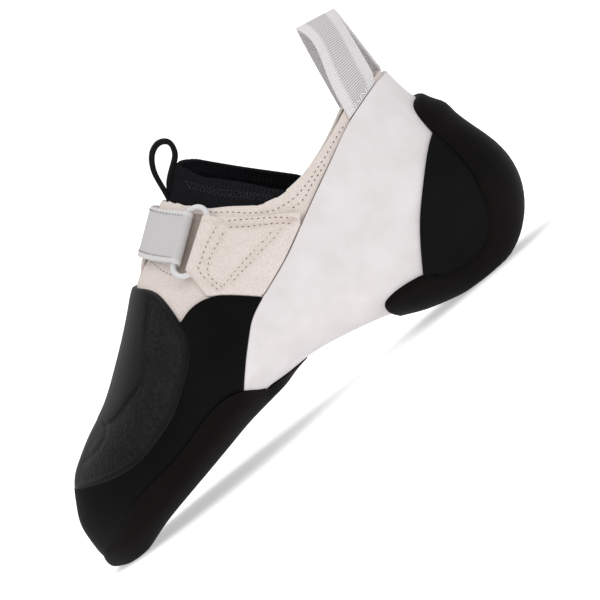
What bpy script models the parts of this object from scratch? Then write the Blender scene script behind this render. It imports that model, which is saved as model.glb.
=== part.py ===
"""A downturned climbing shoe, left foot, built on one last.

Metres, +Z up. The toe points to -X, the outer (lateral) side faces -Y, and the
origin is the centre of the heel's flat spot on the floor.
Every curved piece is a shell between two offsets of the same last, and its
outline is cut by a prism drawn in the side view.
"""

import bpy
import bmesh
import math
import numpy as np

# Driving sizes of the last
SHOE_LENGTH = 0.2450
INSTEP_HEIGHT = 0.1225
BALL_WIDTH = 0.0860
HEEL_POINT = 0.845  # share of the length from the toe to the heel's flat spot

# Walls and layers, from the foot outwards
UPPER_WALL = 0.0020
SOCK_WALL = 0.0025
INSOLE_THICKNESS = 0.0018
RAND_THICKNESS = 0.0015
PATCH_THICKNESS = 0.0020
PANEL_THICKNESS = 0.0013
SOLE_THICKNESS = 0.0038
SOLE_EDGE_THICKNESS = 0.0009
BAND_THICKNESS = 0.0030
CUP_THICKNESS = 0.0012
CLEARANCE = 0.0003
SEAM_GAP = 0.0005

# Closure and loops
STRAP_WIDTH = 0.0224
STRAP_THICKNESS = 0.0014
STRAP_LIFT = 0.0005  # between the upper and the strap, which bridges its facets
RING_WIRE = 0.0026
RING_LENGTH = 0.0345
RING_WIDTH = 0.0125
KEEPER_LENGTH = 0.0200
KEEPER_WALL = 0.0012
HEEL_LOOP_THICKNESS = 0.0012
TONGUE_LOOP_WIDTH = 0.0080
TONGUE_LOOP_THICKNESS = 0.0023

# Steps of the shared grid
AROUND = 24
TOE_RINGS = (0, 1, 2, 3, 4)
RING_STEP = 0.75
WIRE_SIDES = 8
SIDE_REACH = 0.100  # half the length of a side-view prism
SIDE_CHANGE = 0.015  # out to here on each side, a line passes from its outer form to its inner one
POINTS_PER_SPAN = 2  # of a cut line
SHARP_ANGLE = math.radians(40)
MERGE = 1e-6

# Where the sole thins from its full depth to its edge, as shares of the way round
SOLE_FULL = 0.150
SOLE_THIN = 0.215

# Each shell's blank before its outline is cut: table rows, and shares of the way
# round from under the foot, where a negative share is the inner side
FULL_TURN = (0, 1 - 1 / AROUND)
BLANK_COLUMNS = ("first_row", "last_row", "low", "high")
BLANKS = {
    "upper": (0, 22, *FULL_TURN),
    "upper_opening": (3, 14.2, -2 / AROUND, 2 / AROUND),
    "sock_tongue": (8.8, 22, 0.16, 0.84),
    "insole": (2, 15.1, -3 / AROUND, 3 / AROUND),
    "forefoot_rand": (0, 12.5, *FULL_TURN),
    "toe_patch": (0, 11.3, 0.10, 0.90),
    "heel_rand": (7.4, 22, *FULL_TURN),
    "outsole": (0, 12.8, -0.34, 0.34),
    "heel_band": (12.3, 22, -0.26, 0.26),
    "heel_cup_outer": (12.3, 22, 0.02, 0.42),
    "heel_cup_inner": (12.3, 22, 0.58, 0.98),
    "side_panel_outer": (8.8, 17.3, 0.12, 0.46),
    "side_panel_inner": (8.8, 17.3, 0.54, 0.88),
}

# One row for each section of the last, from the toe round the heel to the collar.
# top and tread are the ridge and the ground line in the side view: x is a share of
# SHOE_LENGTH from the toe, z of INSTEP_HEIGHT. ridge_y, outer and inner are the
# ridge's place and the two half widths, as shares of BALL_WIDTH. skew above 1 sets
# the widest place lower, and low and high are the fullness of the two halves.
# sole and band are shares of the rubber under the section.
SECTION_COLUMNS = (
    "top_x", "top_z", "tread_x", "tread_z", "ridge_y", "outer", "inner",
    "skew", "low", "high", "sole", "band",
)
SECTIONS = (
    ("toe tip", 0.014, 0.135, 0.014, 0.135, 0.151, 0.000, 0.000, 1.10, 0.85, 0.95, 0.30, 0),
    ("toe 1", 0.018, 0.204, 0.014, 0.029, 0.149, 0.093, 0.087, 1.10, 0.85, 0.95, 0.75, 0),
    ("toe 2", 0.029, 0.264, 0.025, 0.003, 0.143, 0.184, 0.163, 1.15, 0.82, 0.95, 1, 0),
    ("toe 3", 0.048, 0.326, 0.045, -0.010, 0.134, 0.277, 0.219, 1.20, 0.80, 0.95, 1, 0),
    ("toe 4", 0.078, 0.371, 0.073, -0.001, 0.122, 0.372, 0.267, 1.25, 0.78, 0.95, 1, 0),
    ("toe box", 0.122, 0.421, 0.118, 0.031, 0.110, 0.477, 0.314, 1.30, 0.76, 0.95, 1, 0),
    ("toes", 0.176, 0.472, 0.176, 0.059, 0.099, 0.547, 0.355, 1.35, 0.75, 0.95, 1, 0),
    ("knuckle", 0.231, 0.547, 0.239, 0.084, 0.087, 0.587, 0.384, 1.35, 0.75, 0.95, 1, 0),
    ("ball", 0.282, 0.625, 0.302, 0.109, 0.076, 0.599, 0.395, 1.35, 0.75, 0.98, 1, 0),
    ("ball rear", 0.330, 0.707, 0.371, 0.132, 0.064, 0.587, 0.378, 1.30, 0.78, 1.00, 1, 0),
    ("vamp", 0.369, 0.778, 0.441, 0.147, 0.052, 0.547, 0.349, 1.25, 0.82, 1.02, 0.70, 0),
    ("arch", 0.404, 0.828, 0.510, 0.162, 0.041, 0.494, 0.326, 1.20, 0.86, 1.04, 0.40, 0),
    ("waist", 0.435, 0.867, 0.584, 0.147, 0.029, 0.448, 0.320, 1.15, 0.90, 1.04, 0.10, 0),
    ("heel breast", 0.459, 0.900, 0.665, 0.108, 0.021, 0.416, 0.328, 1.12, 0.90, 1.02, 0, 0),
    ("heel fore", 0.477, 0.925, 0.755, 0.029, 0.014, 0.395, 0.343, 1.12, 0.88, 1.00, 0, 1),
    ("heel seat", 0.489, 0.944, 0.845, -0.005, 0.009, 0.384, 0.358, 1.15, 0.86, 1.00, 0, 1),
    ("heel rear", 0.498, 0.960, 0.924, 0.028, 0.005, 0.374, 0.360, 1.20, 0.86, 1.00, 0, 1),
    ("heel low", 0.505, 0.971, 0.982, 0.143, 0.002, 0.366, 0.360, 1.25, 0.88, 1.00, 0, 1),
    ("heel mid", 0.510, 0.980, 0.998, 0.282, 0.000, 0.360, 0.358, 1.28, 0.90, 1.00, 0, 1),
    ("heel high", 0.515, 0.988, 0.984, 0.410, 0.000, 0.352, 0.352, 1.25, 0.90, 1.00, 0, 1),
    ("achilles low", 0.518, 0.993, 0.968, 0.530, 0.000, 0.343, 0.343, 1.20, 0.90, 1.00, 0, 1),
    ("achilles", 0.522, 0.998, 0.943, 0.653, 0.000, 0.334, 0.334, 1.15, 0.90, 1.00, 0, 0.6),
    ("collar", 0.524, 1.001, 0.927, 0.808, 0.000, 0.326, 0.326, 1.10, 0.90, 1.00, 0, 0),
)
LAST_ROW = len(SECTIONS) - 1

# Cut lines in the side view, as shares of SHOE_LENGTH and INSTEP_HEIGHT
PATCH_EDGE = (
    (0.367, 0.575), (0.366, 0.548), (0.360, 0.512), (0.339, 0.454), (0.311, 0.409),
    (0.281, 0.368), (0.243, 0.328), (0.184, 0.293), (0.137, 0.283), (0.079, 0.297),
    (0.038, 0.318), (-0.020, 0.350),
)
PATCH_TOP = (
    (0.367, 0.575), (0.369, 0.622), (0.369, 0.668), (0.366, 0.706), (0.358, 0.732), (0.347, 0.748),
    (0.334, 0.762),
)
RAND_TOP = ((0.367, 0.575), (0.387, 0.588), (0.408, 0.592), (0.432, 0.583), (0.461, 0.549), (0.506, 0.467))
HEEL_RAND_FRONT = (
    (0.900, 0.781), (0.823, 0.742), (0.753, 0.678), (0.640, 0.568), (0.575, 0.507),
    (0.493, 0.448), (0.454, 0.399), (0.416, 0.327), (0.381, 0.249), (0.372, 0.180), (0.370, -0.050),
)
SOLE_EDGE_OUTER = (
    (-0.020, 0.075), (0.015, 0.090), (0.053, 0.129), (0.118, 0.188), (0.206, 0.214), (0.269, 0.246),
    (0.329, 0.270), (0.376, 0.249), (0.406, 0.199), (0.427, 0.188), (0.460, 0.181), (0.505, 0.174),
    (0.571, 0.100),
)
SOLE_EDGE_INNER = (
    (-0.020, 0.075), (0.015, 0.090), (0.053, 0.122), (0.118, 0.158), (0.206, 0.176), (0.269, 0.200),
    (0.329, 0.218), (0.376, 0.214), (0.406, 0.199), (0.427, 0.190), (0.460, 0.181), (0.505, 0.174),
    (0.571, 0.100),
)
BAND_EDGE = (
    (0.944, 0.652), (0.931, 0.622), (0.929, 0.529), (0.933, 0.446), (0.934, 0.353), (0.924, 0.257),
    (0.904, 0.167), (0.878, 0.115), (0.849, 0.090), (0.806, 0.096), (0.772, 0.118), (0.749, 0.146),
    (0.707, 0.160), (0.673, 0.158), (0.658, 0.136), (0.658, 0.050),
)
CUP_FRONT = ((0.929, 0.530), (0.896, 0.488), (0.851, 0.406), (0.807, 0.315), (0.771, 0.217), (0.749, 0.147))
COLLAR_EDGE_OUTER = (
    (0.440, 0.960), (0.478, 0.927), (0.496, 0.893), (0.514, 0.854), (0.533, 0.815), (0.558, 0.784),
    (0.593, 0.732), (0.612, 0.711), (0.636, 0.698), (0.658, 0.695), (0.694, 0.700), (0.716, 0.709),
    (0.750, 0.726), (0.793, 0.756), (0.828, 0.782), (0.852, 0.793), (0.883, 0.798), (0.960, 0.798),
)
COLLAR_EDGE_INNER = (
    (0.440, 0.960), (0.478, 0.927), (0.496, 0.893), (0.514, 0.854), (0.533, 0.812), (0.558, 0.774),
    (0.593, 0.714), (0.612, 0.686), (0.636, 0.666), (0.658, 0.659), (0.694, 0.662), (0.716, 0.671),
    (0.750, 0.692), (0.793, 0.730), (0.828, 0.766), (0.852, 0.784), (0.883, 0.798), (0.960, 0.798),
)
SOCK_RIM_OUTER = (
    (0.520, 1.003), (0.533, 0.995), (0.541, 0.966), (0.555, 0.917), (0.579, 0.869), (0.613, 0.797),
    (0.634, 0.745), (0.664, 0.680),
)
SOCK_RIM_INNER = (
    (0.520, 1.003), (0.540, 1.000), (0.562, 0.971), (0.579, 0.932), (0.598, 0.887), (0.622, 0.832),
    (0.654, 0.762), (0.700, 0.662),
)
SOCK_FOOT = ((0.640, 0.590), (0.560, 0.640), (0.480, 0.740), (0.430, 0.830), (0.400, 0.900))
PANEL_TOP = ((0.536, 0.766), (0.551, 0.741), (0.593, 0.678), (0.623, 0.642), (0.655, 0.607))
PANEL_FRONT = ((0.442, 0.646), (0.436, 0.605), (0.434, 0.586))

# The closure in the side view: the ring's two ends, the strap's folded edge from
# toe side to heel side, and where the strap crosses the ridge, in table rows
RING_ENDS = ((0.411, 0.665), (0.514, 0.809))
STRAP_FOLD_EDGE = ((0.417, 0.689), (0.500, 0.792))
STRAP_ON_RIDGE = (10.48, 13.22)
STRAP_FIXED_END = -1.15  # shares of the way from the ridge to the fold
STRAP_FREE_END = -0.45
STRAP_LEAVES_LAST = 0.6
STRAP_MEETS_LAST = 0.55

# The tongue's pull loop: middle of the tape in the side view, from its sewn foot up
TONGUE_LOOP = (
    (0.493, 0.936), (0.506, 0.964), (0.525, 0.998), (0.544, 1.014), (0.554, 1.044), (0.550, 1.078),
    (0.537, 1.090), (0.521, 1.078), (0.505, 1.043), (0.495, 0.992),
)
SHARPEST_MITRE = 0.3

# The heel loop's front and back edges, from the sewn foot to the top of the arch:
# the two places on the last, then the top. Between them the webbing stands free.
HEEL_LOOP_FOOT = ((0.823, 0.752), (0.895, 0.788))
HEEL_LOOP_COLLAR = ((0.827, 0.800), (0.903, 0.815))
HEEL_LOOP_TOP = ((0.852, 1.092), (0.926, 1.062))
HEEL_LOOP_SET_BACK = 0.0025  # the inner leg stands this far behind the outer one
HEEL_LOOP_FULLNESS = 0.85  # below 1 the arch has fuller shoulders


def from_heel(x_share):
    """A share of the length, counted from the toe, as an X place in the shoe's frame."""
    return (x_share - HEEL_POINT) * SHOE_LENGTH


def shoe_xz(point):
    """A point of a cut line as metres in the side view."""
    return (from_heel(point[0]), point[1] * INSTEP_HEIGHT)


def rubber_stack(sole, band):
    """Everything between the upper and the ground: rand, and sole or heel band."""
    rand = CLEARANCE + RAND_THICKNESS
    return rand + sole * (CLEARANCE + SOLE_THICKNESS) + band * (CLEARANCE + BAND_THICKNESS)


def section_values():
    """The table in metres, with the tread line lifted to the upper's own bottom line."""
    values = []
    for row in SECTIONS:
        s = dict(zip(SECTION_COLUMNS, row[1:]))
        top = np.array(shoe_xz((s["top_x"], s["top_z"])))
        tread = np.array(shoe_xz((s["tread_x"], s["tread_z"])))
        height = np.linalg.norm(top - tread)
        if height > 0:
            tread = tread + (top - tread) / height * rubber_stack(s["sole"], s["band"])
        widths = [s[name] * BALL_WIDTH for name in ("ridge_y", "outer", "inner")]
        values.append([*top, *tread, *widths, s["skew"], s["low"], s["high"], s["sole"]])
    mirrored = list(values[1])
    mirrored[0:2], mirrored[2:4] = values[1][2:4], values[1][0:2]
    mirrored[5], mirrored[6] = -values[1][5], -values[1][6]
    return np.array([mirrored, *values])


class NaturalSpline:
    """A smooth curve through evenly spaced rows of values."""

    def __init__(self, rows):
        n = len(rows)
        system = np.eye(n)
        right = np.zeros_like(rows)
        for i in range(1, n - 1):
            system[i, i - 1 : i + 2] = (1, 4, 1)
            right[i] = 6 * (rows[i + 1] - 2 * rows[i] + rows[i - 1])
        self.rows = rows
        self.bend = np.linalg.solve(system, right)

    def at(self, t):
        i = np.clip(np.floor(t).astype(int), 0, len(self.rows) - 2)
        b = (t - i)[..., None]
        a = 1 - b
        straight = a * self.rows[i] + b * self.rows[i + 1]
        return straight + ((a**3 - a) * self.bend[i] + (b**3 - b) * self.bend[i + 1]) / 6


LAST = NaturalSpline(section_values())


def surface(u, v):
    """A point of the upper's outer face. u counts table rows from the toe, and v goes
    once round: 0 under the foot, 0.25 the outer side, 0.5 the ridge, 0.75 the inner side."""
    u, v = np.broadcast_arrays(np.asarray(u, float), np.asarray(v, float))
    top_x, top_z, low_x, low_z, ridge_y, outer, inner, skew, low, high, _ = np.moveaxis(LAST.at(u + 1), -1, 0)
    v = v % 1.0
    turn = 2 * math.pi * np.minimum(v, 1 - v)
    share = turn / math.pi
    full = low + (high - low) * share * share * (3 - 2 * share)
    height = ((1 - np.cos(turn)) / 2) ** skew
    half = np.where(v <= 0.5, -outer, inner) * np.maximum(np.sin(turn), 0) ** full
    return np.stack(
        [low_x + (top_x - low_x) * height, ridge_y + half, low_z + (top_z - low_z) * height], -1
    )


def normal(u, v):
    """The outward direction of the surface."""
    u, v = np.broadcast_arrays(np.asarray(u, float), np.asarray(v, float))
    step = 1e-3
    u = np.maximum(u, 0.03)
    along = surface(u + step, v) - surface(u - step, v)
    around = surface(u, v + step) - surface(u, v - step)
    n = np.cross(along, around)
    return n / np.linalg.norm(n, axis=-1, keepdims=True)


def offset_point(u, v, distance):
    """A point at a distance outside the upper's outer face."""
    at_tip = np.asarray(u, float)[..., None] * np.ones(3) < 1e-6
    outward = np.where(at_tip, np.array([-1.0, 0.0, 0.0]), normal(u, v))
    return surface(u, v) + outward * np.asarray(distance, float)[..., None]


def locate(x, z, outer_side):
    """The (u, v) of the side's surface point that shows at (x, z) in the side view."""
    v_range = (0.02, 0.49) if outer_side else (0.51, 0.98)
    us = np.linspace(0.3, LAST_ROW, 90)
    vs = np.linspace(*v_range, 60)
    grid_u, grid_v = np.meshgrid(us, vs, indexing="ij")
    target = np.array([x, z])
    miss = np.linalg.norm(surface(grid_u, grid_v)[..., ::2] - target, axis=-1)
    k = np.unravel_index(np.argmin(miss), miss.shape)
    place = np.array([grid_u[k], grid_v[k]])
    step = 1e-4
    for _ in range(8):
        here = surface(place[0], place[1])[::2]
        du = (surface(place[0] + step, place[1])[::2] - here) / step
        dv = (surface(place[0], place[1] + step)[::2] - here) / step
        move = np.linalg.lstsq(np.stack([du, dv], 1), target - here, rcond=None)[0]
        place = place + np.clip(move, -0.3, 0.3)
        place = np.clip(place, (0.3, v_range[0]), (LAST_ROW, v_range[1]))
    return place


def material(name, colour, roughness, metallic=0.0):
    m = bpy.data.materials.new(name)
    m.use_nodes = True
    shader = m.node_tree.nodes["Principled BSDF"]
    shader.inputs["Base Color"].default_value = (*colour, 1.0)
    shader.inputs["Roughness"].default_value = roughness
    shader.inputs["Metallic"].default_value = metallic
    return m


def add_object(name, mesh, finish=None):
    obj = bpy.data.objects.new(name, mesh)
    bpy.context.scene.collection.objects.link(obj)
    if finish is not None:
        mesh.materials.append(finish)
    return obj


def finish_mesh(bm, name):
    """Closes a bmesh into a mesh whose faces point outwards."""
    bmesh.ops.remove_doubles(bm, verts=bm.verts, dist=MERGE)
    bmesh.ops.triangulate(bm, faces=[f for f in bm.faces if len(f.verts) > 3], quad_method="FIXED")
    bmesh.ops.recalc_face_normals(bm, faces=bm.faces)
    mesh = bpy.data.meshes.new(name)
    bm.to_mesh(mesh)
    bm.free()
    mesh.shade_smooth()
    mesh.set_sharp_from_angle(angle=SHARP_ANGLE)
    return mesh


def ring_places(first, last):
    """The rings of the shared grid from one table row to another."""
    rings = [float(r) for r in TOE_RINGS]
    count = round((LAST_ROW - rings[-1]) / RING_STEP)
    rings += [rings[-1] + (LAST_ROW - rings[-1]) * (k + 1) / count for k in range(count)]
    return [r for r in rings if first - MERGE <= r <= last + MERGE]


def around_places(low, high):
    """The v lines of the shared grid from low to high; low may be negative."""
    first = math.ceil(low * AROUND - MERGE)
    last = math.floor(high * AROUND + MERGE)
    return [k / AROUND for k in range(first, last + 1)]


def blank(name):
    """The rings and the v lines of a piece's blank."""
    b = dict(zip(BLANK_COLUMNS, BLANKS[name]))
    return ring_places(b["first_row"], b["last_row"]), around_places(b["low"], b["high"])


def shell_between(name, finish, inner, outer, closed=False, skip=None, tip=False):
    """A closed solid between two grids of points of the same shape. closed joins the
    last column to the first, skip leaves squares out, and tip says that the first row
    is one point, so that it needs no edge."""
    skip = skip or (lambda i, j: False)
    rows, columns = inner.shape[:2]
    bm = bmesh.new()
    sides = [[[bm.verts.new(p) for p in row] for row in grid] for grid in (inner, outer)]
    spans = columns if closed else columns - 1
    kept = {(i, j) for i in range(rows - 1) for j in range(spans) if not skip(i, j)}
    for i, j in kept:
        k = (j + 1) % columns
        for side in sides:
            bm.faces.new((side[i][j], side[i + 1][j], side[i + 1][k], side[i][k]))
        edges = (
            ((i - 1, j), (i, j), (i, k)),
            ((i + 1, j), (i + 1, j), (i + 1, k)),
            ((i, (j - 1) % columns if closed else j - 1), (i, j), (i + 1, j)),
            ((i, (j + 1) % columns if closed else j + 1), (i, k), (i + 1, k)),
        )
        for neighbour, a, b in edges:
            at_tip = tip and a[0] == 0 and b[0] == 0
            if neighbour not in kept and not at_tip:
                bm.faces.new([sides[s][p[0]][p[1]] for s, p in ((0, a), (0, b), (1, b), (1, a))])
    loose = [vert for vert in bm.verts if not vert.link_faces]
    bmesh.ops.delete(bm, geom=loose, context="VERTS")
    return add_object(name, finish_mesh(bm, name), finish)


def build_shell(name, finish, inner, outer, skip=None):
    """A piece's blank as a closed shell between two offsets of the last.
    inner and outer are distances, or functions of u and v."""
    rings, places = blank(name)
    closed = len(places) == AROUND
    u, v = np.meshgrid(np.array(rings), np.array(places), indexing="ij")
    grids = []
    for distance in (inner, outer):
        d = distance(u, v) if callable(distance) else np.full(u.shape, distance)
        grids.append(offset_point(u, v, d))
    return shell_between(name, finish, *grids, closed=closed, skip=skip, tip=rings[0] == 0)


def build_ribbon(name, finish, middle, outward, thickness):
    """A strip of even thickness about a grid of middle points."""
    half = outward * thickness / 2
    return shell_between(name, finish, middle - half, middle + half)


def prism(name, outer_line, inner_line=None):
    """A cutter through both sides of the shoe. Its outline may change over the shoe's
    middle from the outer side (-Y) to the inner side (+Y), with as many points."""
    stations = [(outer_line, -SIDE_REACH), (outer_line, SIDE_REACH)]
    if inner_line:
        stations[1:] = [(outer_line, -SIDE_CHANGE), (inner_line, SIDE_CHANGE), (inner_line, SIDE_REACH)]
    bm = bmesh.new()
    ends = [[bm.verts.new((x, y, z)) for x, z in line] for line, y in stations]
    bm.faces.new(ends[0])
    bm.faces.new(ends[-1])
    for near, away in zip(ends, ends[1:]):
        for k in range(len(near)):
            bm.faces.new((near[k - 1], near[k], away[k], away[k - 1]))
    cutter = add_object(name, finish_mesh(bm, name))
    cutter.hide_render = True
    cutter.display_type = "WIRE"
    return cutter


def boolean(target, cutter, operation):
    cut = target.modifiers.new(f"{operation.lower()} {cutter.name}", "BOOLEAN")
    cut.object = cutter
    cut.operation = operation
    cut.solver = "EXACT"


def smooth_line(points):
    """A cut line in metres with extra points on a smooth curve through its own."""
    rows = np.array([shoe_xz(p) for p in points])
    spans = len(rows) - 1
    return [tuple(p) for p in NaturalSpline(rows).at(np.linspace(0, spans, spans * POINTS_PER_SPAN + 1))]


def shifted(line, dx=0.0, dz=0.0):
    return [(x + dx, z + dz) for x, z in line]


def far_point(x_share, z_share):
    return shoe_xz((x_share, z_share))


def cut_flat(*rubbers):
    """Cuts the tread off at the floor, which leaves the two flat spots it rests on."""
    corners = [far_point(-0.10, 0), far_point(1.10, 0), far_point(1.10, -0.20), far_point(-0.10, -0.20)]
    floor = prism("floor cutter", corners)
    for rubber in rubbers:
        boolean(rubber, floor, "DIFFERENCE")


def make_upper(finish):
    """The suede sock of the shoe: one wall, open at the collar and under the foot."""
    rings, places = blank("upper")
    hole_rings, hole_places = blank("upper_opening")
    first, last = rings.index(hole_rings[0]), rings.index(hole_rings[-1])
    half = round(hole_places[-1] * AROUND)

    def under_foot(i, j):
        return first <= i < last and (j < half or j >= len(places) - half)

    upper = build_shell("upper", finish, -UPPER_WALL, 0.0, under_foot)
    above = [far_point(1.10, 0.798), far_point(1.10, 1.30), far_point(0.30, 1.30), far_point(0.30, 1.02)]
    outline = [smooth_line(edge) + above for edge in (COLLAR_EDGE_OUTER, COLLAR_EDGE_INNER)]
    boolean(upper, prism("collar cutter", *outline), "DIFFERENCE")
    return upper


def make_sock(finish):
    """The knitted tongue: a saddle inside the upper that stands up out of it."""
    outer_face = -(UPPER_WALL + CLEARANCE)
    sock = build_shell("sock_tongue", finish, outer_face - SOCK_WALL, outer_face)
    foot = smooth_line(SOCK_FOOT)
    front = [far_point(0.400, 1.100)]
    outline = [smooth_line(rim) + foot + front for rim in (SOCK_RIM_OUTER, SOCK_RIM_INNER)]
    boolean(sock, prism("sock cutter", *outline), "INTERSECT")
    return sock


def make_insole(finish):
    """The footbed, lying on the upper's turned-in edge."""
    face = -(UPPER_WALL + CLEARANCE)
    return build_shell("insole", finish, face - INSOLE_THICKNESS, face)


def rand_outline():
    """The forefoot rand's side view: under the toe patch and ahead of the heel rand."""
    split = shifted(smooth_line(HEEL_RAND_FRONT), dx=-SEAM_GAP)
    top = smooth_line(RAND_TOP)
    behind = [p for p in split if p[0] < top[-1][0] - SEAM_GAP]
    return list(reversed(smooth_line(PATCH_EDGE))) + top[1:] + behind + [far_point(-0.10, -0.05)]


def make_forefoot_rand(finish):
    rand = build_shell("forefoot_rand", finish, CLEARANCE, CLEARANCE + RAND_THICKNESS)
    boolean(rand, prism("rand cutter", rand_outline()), "INTERSECT")
    return rand


def make_toe_patch(finish):
    """The rubber shield over the toes, thicker than the rand it meets."""
    edge = shifted(smooth_line(PATCH_EDGE), dx=-SEAM_GAP, dz=SEAM_GAP)
    top = shifted(smooth_line(PATCH_TOP), dx=-SEAM_GAP)
    outline = list(reversed(top)) + edge[1:] + [far_point(-0.10, 0.60), far_point(0.20, 0.95), far_point(0.30, 0.85)]
    patch = build_shell("toe_patch", finish, CLEARANCE, CLEARANCE + PATCH_THICKNESS)
    boolean(patch, prism("patch cutter", outline), "INTERSECT")
    return patch


def make_heel_rand(finish):
    """The white tension rand: both heel sides, the back and the whole arch."""
    front = smooth_line(HEEL_RAND_FRONT)
    outline = front + [far_point(1.20, -0.05), far_point(1.20, 0.781)]
    rand = build_shell("heel_rand", finish, CLEARANCE, CLEARANCE + RAND_THICKNESS)
    boolean(rand, prism("heel rand cutter", outline), "INTERSECT")
    return rand


def sole_depth(u, v):
    """The outsole's outer offset: thin where it meets the rand, full under the foot."""
    base = 2 * CLEARANCE + RAND_THICKNESS
    away = np.minimum(v % 1.0, 1 - v % 1.0)
    fade = np.clip((SOLE_THIN - away) / (SOLE_THIN - SOLE_FULL), 0, 1)
    fade = fade * fade * (3 - 2 * fade)
    under = np.clip(LAST.at(u + 1)[..., -1], 0, 1) * SOLE_THICKNESS
    return base + SOLE_EDGE_THICKNESS + np.maximum(under - SOLE_EDGE_THICKNESS, 0) * fade


def make_outsole(finish):
    base = 2 * CLEARANCE + RAND_THICKNESS
    sole = build_shell("outsole", finish, base, sole_depth)
    below = [far_point(0.60, -0.10), far_point(-0.10, -0.10)]
    lines = [smooth_line(edge) + below for edge in (SOLE_EDGE_OUTER, SOLE_EDGE_INNER)]
    boolean(sole, prism("sole cutter", *lines), "INTERSECT")
    return sole


def make_heel_band(finish):
    """The thick heel rubber, from under the arch round to the back of the heel."""
    base = 2 * CLEARANCE + RAND_THICKNESS
    band = build_shell("heel_band", finish, base, base + BAND_THICKNESS)
    outline = smooth_line(BAND_EDGE) + [far_point(0.658, -0.10), far_point(1.20, -0.10), far_point(1.20, 0.668)]
    boolean(band, prism("band cutter", outline), "INTERSECT")
    return band
    return band


def make_heel_cups(finish):
    """The thin dished rubber on each side of the heel, inside the band's curve."""
    base = 2 * CLEARANCE + RAND_THICKNESS
    edge = smooth_line(BAND_EDGE)[4:23]
    outline = shifted(edge, dx=-SEAM_GAP, dz=SEAM_GAP) + list(reversed(smooth_line(CUP_FRONT)))[1:-1]
    cutter = prism("cup cutter", outline)
    for name in ("heel_cup_outer", "heel_cup_inner"):
        boolean(build_shell(name, finish, base, base + CUP_THICKNESS), cutter, "INTERSECT")


def make_side_panels(finish):
    """The suede reinforcements that carry the ring and the strap's fixed end."""
    top = smooth_line(PANEL_TOP)
    front = [shoe_xz(p) for p in PANEL_FRONT]
    behind = shifted(smooth_line(HEEL_RAND_FRONT), dx=-SEAM_GAP, dz=SEAM_GAP)
    behind = [p for p in behind if from_heel(0.515) < p[0] < from_heel(0.650)]
    rand = shifted(smooth_line(RAND_TOP), dx=SEAM_GAP, dz=SEAM_GAP)
    rand = [p for p in reversed(rand) if p[0] > from_heel(0.440)]
    outline = top + behind + rand + list(reversed(front))
    cutter = prism("panel cutter", outline)
    for name in ("side_panel_outer", "side_panel_inner"):
        boolean(build_shell(name, finish, CLEARANCE, CLEARANCE + PANEL_THICKNESS), cutter, "INTERSECT")


def unit(vector):
    return vector / np.linalg.norm(vector, axis=-1, keepdims=True)


class RingFrame:
    """Where the ring lies: its centre, its long and short axes and the way out."""

    def __init__(self):
        ends = [locate(*shoe_xz(p), True) for p in RING_ENDS]
        feet = [surface(*place) for place in ends]
        self.lift = STRAP_LIFT + STRAP_THICKNESS + CLEARANCE + RING_WIRE / 2
        middle = (np.array(ends[0]) + np.array(ends[1])) / 2
        self.long = unit(feet[1] - feet[0])
        out = normal(*middle)
        self.out = unit(out - self.long * np.dot(out, self.long))
        self.short = np.cross(self.long, self.out)
        if self.short[2] > 0:
            self.short = -self.short
        self.centre = offset_point(*middle, self.lift)
        self.bar = (RING_WIDTH - RING_WIRE) / 2

    def point(self, along, across, up=0.0):
        return self.centre + self.long * along + self.short * across + self.out * up


def make_strap(finish, ring):
    """The closure strap: sewn to the inner side, over the instep, round the ring's
    near bar and back over itself."""
    fold = [locate(*shoe_xz(p), True) for p in STRAP_FOLD_EDGE]
    low, high = STRAP_ON_RIDGE
    lower = STRAP_LIFT + STRAP_THICKNESS / 2
    upper = lower + STRAP_THICKNESS + CLEARANCE
    turn_radius = RING_WIRE / 2 + CLEARANCE + STRAP_THICKNESS / 2

    def on_last(share, across, distance, facing):
        blend = (across + 1) / 2
        at_ridge = np.array([low + (high - low) * blend, 0.5])
        at_fold = fold[0] + (fold[1] - fold[0]) * blend
        u, v = at_ridge + (at_fold - at_ridge) * abs(share)
        v = v if share >= 0 else 1 - v
        return offset_point(u, v, distance), normal(u, v) * facing

    middle, outward = [], []
    for across in np.linspace(-1, 1, 4):
        path = [on_last(s, across, lower, -1) for s in np.linspace(STRAP_FIXED_END, STRAP_LEAVES_LAST, 12)]
        bar = ring.point(across * STRAP_WIDTH / 2, -ring.bar)
        for angle in np.radians(np.linspace(-90, 90, 7)):
            away = ring.short * math.cos(angle) + ring.out * math.sin(angle)
            path.append((bar + away * turn_radius, away))
        path += [on_last(s, across, upper, 1) for s in np.linspace(STRAP_MEETS_LAST, STRAP_FREE_END, 7)]
        middle.append([p[0] for p in path])
        outward.append([p[1] for p in path])
    middle, outward = np.array(middle), np.array(outward)
    build_ribbon("strap", finish, middle, outward, STRAP_THICKNESS)


def make_ring(finish, ring):
    """The rounded ring the strap runs through."""
    straight = RING_LENGTH / 2 - RING_WIDTH / 2
    path = []
    for end in (1, -1):
        for angle in np.radians(np.linspace(-90, 90, 8)):
            path.append((end * (straight + ring.bar * math.cos(angle)), end * ring.bar * math.sin(angle)))
    bm = bmesh.new()
    loops = []
    for along, across in path:
        end = np.sign(along)
        spoke = unit(np.array([along - end * straight, across]))
        wire = []
        for k in range(WIRE_SIDES):
            angle = 2 * math.pi * k / WIRE_SIDES
            grow, up = RING_WIRE / 2 * math.cos(angle), RING_WIRE / 2 * math.sin(angle)
            wire.append(bm.verts.new(ring.point(along + spoke[0] * grow, across + spoke[1] * grow, up)))
        loops.append(wire)
    for k, wire in enumerate(loops):
        after = loops[(k + 1) % len(loops)]
        for j in range(WIRE_SIDES):
            m = (j + 1) % WIRE_SIDES
            bm.faces.new((wire[j], wire[m], after[m], after[j]))
    add_object("strap_ring", finish_mesh(bm, "strap_ring"), finish)


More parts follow.
